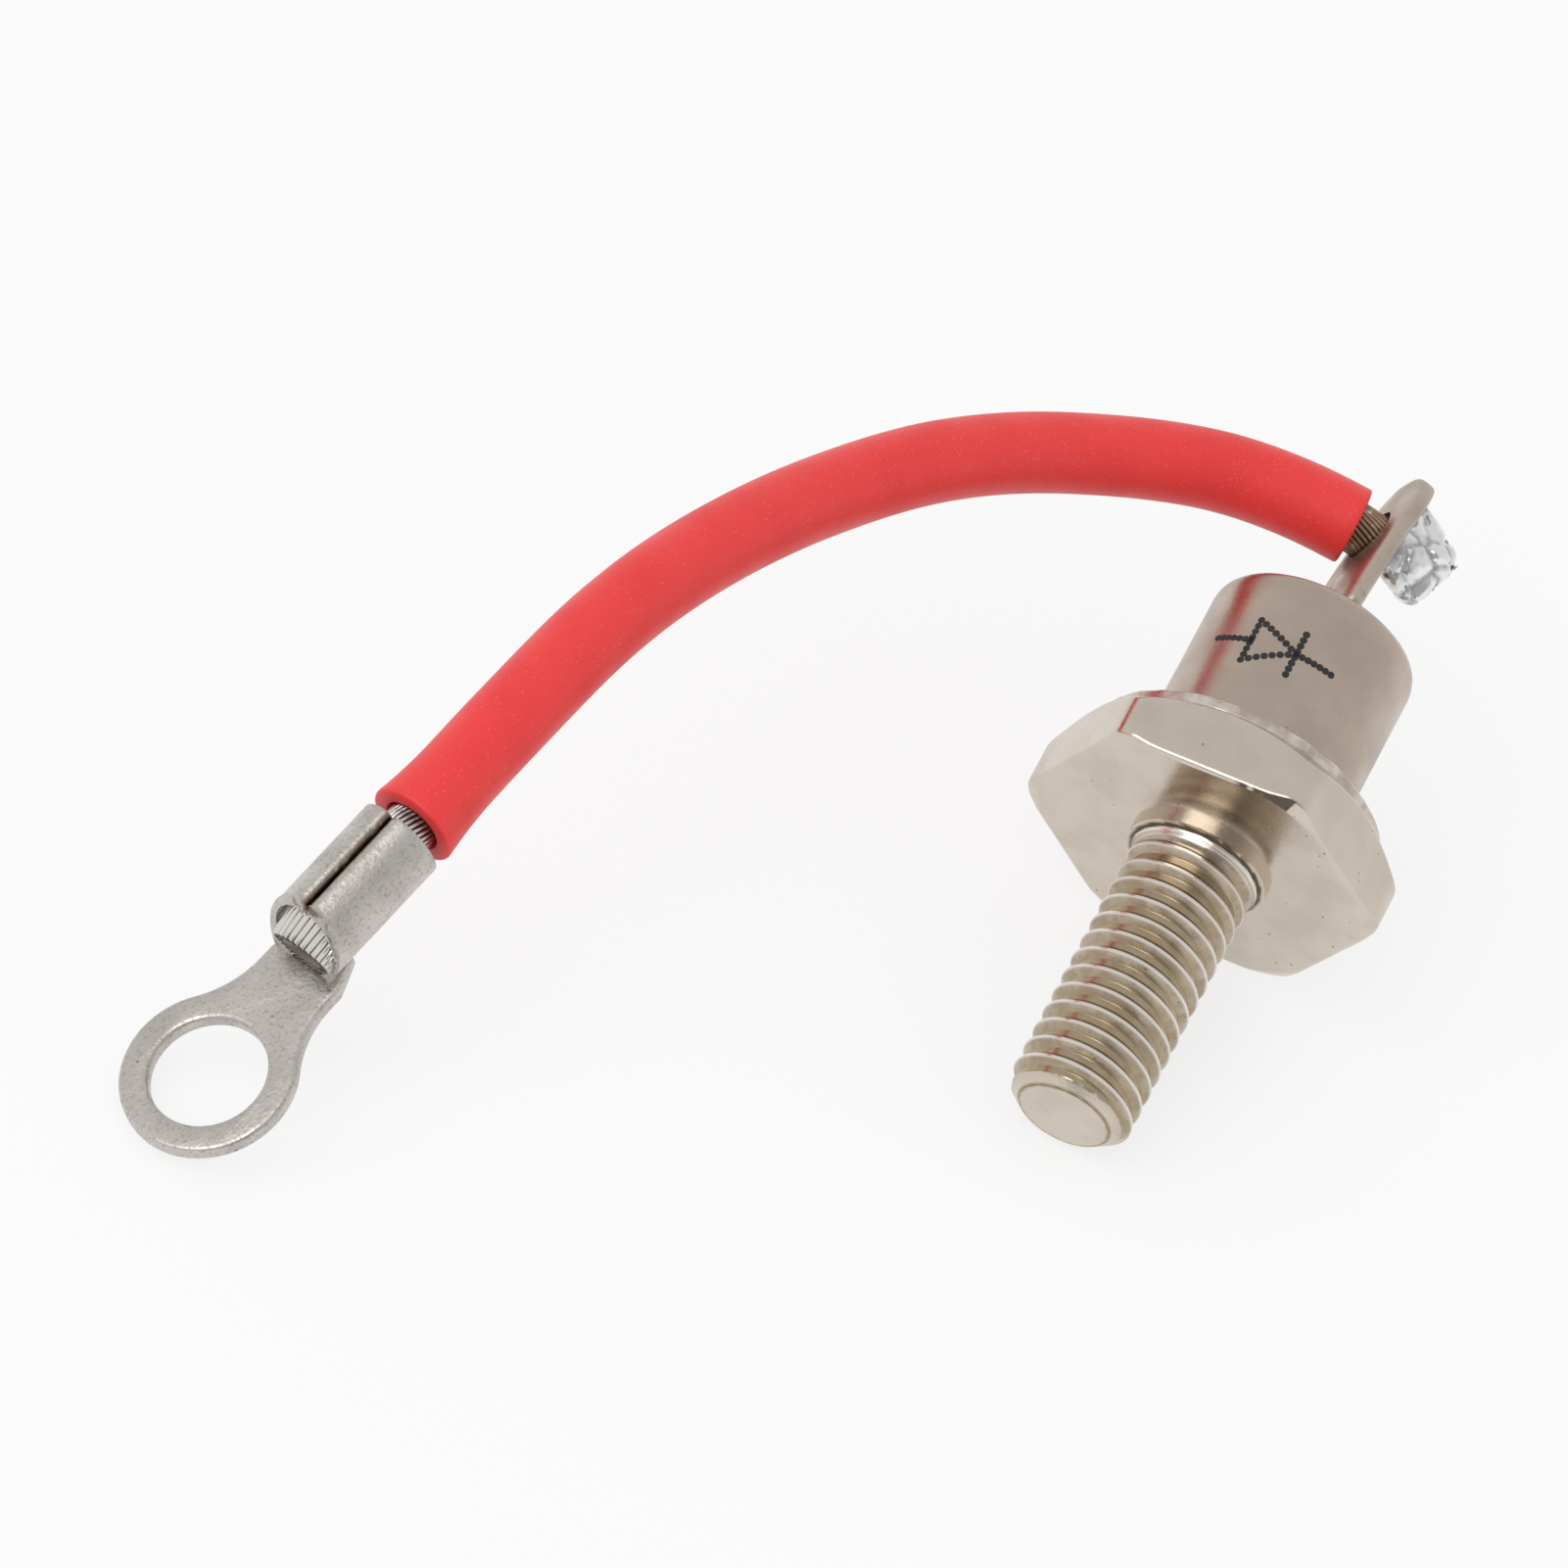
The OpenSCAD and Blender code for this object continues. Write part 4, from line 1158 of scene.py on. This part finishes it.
def crimped_terminal():
    """Plate and barrel as one piece, stained along the seam on top."""
    seam_w, seam_start, seam_fade = 0.24, 0.8, 0.5
    mesh = joined("crimped_terminal", [plate_mesh(), barrel_mesh()])
    spots = coordinates(mesh)
    near = np.clip(1.4 - np.abs(spots[:, 1]) / seam_w, 0, 1)
    behind = np.clip((spots[:, 0] - BARREL_FRONT + seam_start) / seam_fade, 0, 1)
    store(mesh, "seam", near * behind * (spots[:, 2] > BARREL_Z))
    mesh.transform(TERMINAL)
    return piece("crimped_terminal", mesh, tin)


# Generic diode symbol in print dots on the cap

def marking():
    """Dots of marking ink: a triangle, a bar and two short lines."""
    dot, gap, ink_t = 0.17, 0.36, 0.03
    half, tall, far = 1.1, 1.15, 2.9
    spots = []

    def line(a, b):
        count = max(ceil((Vector(b) - Vector(a)).length / gap), 1)
        spots.extend(Vector(a).lerp(Vector(b), k / count) for k in range(count + 1))
    line((-far, 0), (-half, 0))
    line((-half, -tall), (-half, tall))
    line((-half, tall), (half, 0))
    line((-half, -tall), (half, 0))
    line((half, -tall), (half, tall))
    line((half, 0), (far, 0))
    g, size, identifiers = node_tree("print_dots", ("Dot radius", "Ink"), True)
    spot = g.add("GeometryNodeInputPosition")
    radial = g.vector("MULTIPLY", spot, (1, 1, 0))
    facing = g.add("FunctionNodeAlignRotationToVector", {"Vector": radial}, axis="Z")
    disc = g.add("GeometryNodeMeshCylinder", {
        "Vertices": 14, "Radius": size["Dot radius"], "Depth": size["Ink"]
    })
    dots = g.add("GeometryNodeInstanceOnPoints", {
        "Points": size["Geometry"], "Instance": disc, "Rotation": facing
    })
    close_tree(g, dots, ink)
    reach = CAP_D / 2
    points = []
    for along, up in spots:
        angle = radians(MARK_TURN) + along / reach
        points.append((reach * cos(angle), reach * sin(angle), HEX_H + MARK_HEIGHT + up))
    values = {"Dot radius": dot, "Ink": ink_t}
    mesh = grown("marking", new_mesh("marking", points, []), g, identifiers, values)
    mesh.transform(DIODE)
    return piece("marking", mesh, ink)


# The lead comes first, then the pieces that it joins
cord_path, fine_line = [
    trimmed(lead_line(steps), BARE_LUG * MM, BARE_RING * MM) for steps in (ROUTE_STEPS, FINE_STEPS)
]
conductor_line = [EYE + LUG_OUT * LUG_T / 2 * MM] + fine_line
conductor_line += [barrel_back, barrel_back - ring_way * (BARREL_LEN + STRAND_OUT) * MM]
red_insulation = insulation(fine_line)
lead_strands = strand_bundle(conductor_line)
terminal = crimped_terminal()
base = threaded_base()
cap = welded_cap()
blade = lug_blade()
lump = solder_lump()
symbol = marking()

replaced = {
    red_insulation: "lead_insulation", lead_strands: "lead_conductor", terminal: "ring_terminal",
    base: "stud_base", cap: "cap_shell", blade: "terminal_lug", lump: "lug_solder",
}
for obj, node in replaced.items():
    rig.ride(obj, "root")
    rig.replaces(obj, node)
    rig.slot(obj, node)
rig.ride(symbol, "root")
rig.slot(symbol, "cap_shell")

cord_length = sum((b - a).length for a, b in zip(cord_path, cord_path[1:]))
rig.cord(
    red_insulation, exit=cord_path[0], length=cord_length, diameter=2 * INSUL_R * MM,
    far_end="connector", stiffness="stiff", lay="loose", path=cord_path,
    with_pieces=[lead_strands, terminal],
)

kept = {
    "weld_ring": steel, "glass_seal": glass, "lower_disc": molybdenum, "silicon_die": silicon,
    "upper_disc": molybdenum, "contact_pin": copper, "die_solder": soft_solder, "junction_coating": coating,
}
for node, material in kept.items():
    materials = frame["nodes"][node].data.materials
    materials.clear()
    materials.append(material)


# Floor, lights and camera

def floor_white(g):
    """White card: the camera and mirrors see it near white, with the object's shadow."""
    rays = ("Camera", "Glossy", "Transmission")
    camera, glossy, clear = [g.add("ShaderNodeLightPath", None, f"Is {ray} Ray") for ray in rays]
    seen = g.clamp(camera * 0.76 + (glossy + clear) * 0.68)
    card = g.add("ShaderNodeBsdfDiffuse", {"Color": rgb(0.92, 0.92, 0.92)})
    glow = g.add("ShaderNodeEmission", {"Color": rgb(1, 1, 1), "Strength": 1.0})
    return g.add("ShaderNodeMixShader", {0: seen, 1: card, 2: glow})


def stage_floor():
    """Square card under the part."""
    corners = [(FLOOR_HALF * x, FLOOR_HALF * y, 0) for x, y in ((-1, -1), (1, -1), (1, 1), (-1, 1))]
    mesh = new_mesh("floor", corners, [(0, 1, 2, 3)])
    mesh.materials.append(finish(floor_white))
    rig.stage(linked("floor", mesh))


def soft_lamp():
    """Big square lamp beside the camera that faces the middle of the part."""
    middle = (cad_box[0] + cad_box[1]) / 2
    lamp = bpy.data.lights.new("soft_lamp", "AREA")
    lamp.size = LAMP_SIZE
    lamp.energy = LAMP_POWER
    obj = linked("soft_lamp", lamp)
    obj.location = middle + Vector(LAMP_OFFSET)
    obj.rotation_euler = (middle - obj.location).to_track_quat("-Z", "Y").to_euler()


def surround():
    """Even pale surround that is darker behind the camera."""
    world = bpy.data.worlds.new("surround")
    world.use_nodes = True
    bpy.context.scene.world = world
    g = Graph(world.node_tree)
    way = g.add("ShaderNodeTexCoord", None, "Generated")
    height = g.add("ShaderNodeSeparateXYZ", {"Vector": way}, 2)
    behind = g.vector("DOT_PRODUCT", way, DARK_SIDE, 1)
    tone = g.mix(g.smooth(height, -0.05, 0.8), rgb(0.86, 0.855, 0.845), rgb(0.74, 0.74, 0.74))
    tone = g.mix(g.smooth(behind, 0.45, 0.95) * 0.6, tone, rgb(0.12, 0.115, 0.11))
    g.add("ShaderNodeOutputWorld", {"Surface": g.add("ShaderNodeBackground", {"Color": tone})})


def photo_camera():
    """Camera at the photograph's viewing angle."""
    azimuth, elevation, roll = radians(VIEW_AZIMUTH), radians(VIEW_ELEVATION), radians(VIEW_ROLL)
    toward = Vector((cos(elevation) * cos(azimuth), cos(elevation) * sin(azimuth), sin(elevation)))
    level = Vector((-sin(azimuth), cos(azimuth), 0))
    upright = toward.cross(level)
    right = cos(roll) * level + sin(roll) * upright
    up = cos(roll) * upright - sin(roll) * level
    target = seat_at + (right * AIM_RIGHT + up * AIM_UP) * MM
    data = bpy.data.cameras.new("camera")
    data.sensor_width = SENSOR
    data.lens = SENSOR * VIEW_DISTANCE / VIEW_WIDTH
    data.clip_start = 0.01
    camera = linked("camera", data)
    turn = Matrix((right, up, toward)).transposed().to_4x4()
    camera.matrix_world = Matrix.Translation(target + toward * VIEW_DISTANCE * MM) @ turn
    bpy.context.scene.camera = camera


stage_floor()
surround()
soft_lamp()
photo_camera()
bpy.context.scene.view_settings.view_transform = "Standard"

with open("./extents.json", "w") as file:
    boxes = {"cad": cad_box, "visual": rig.bounds()}
    json.dump({name: [list(corner) for corner in box] for name, box in boxes.items()}, file)
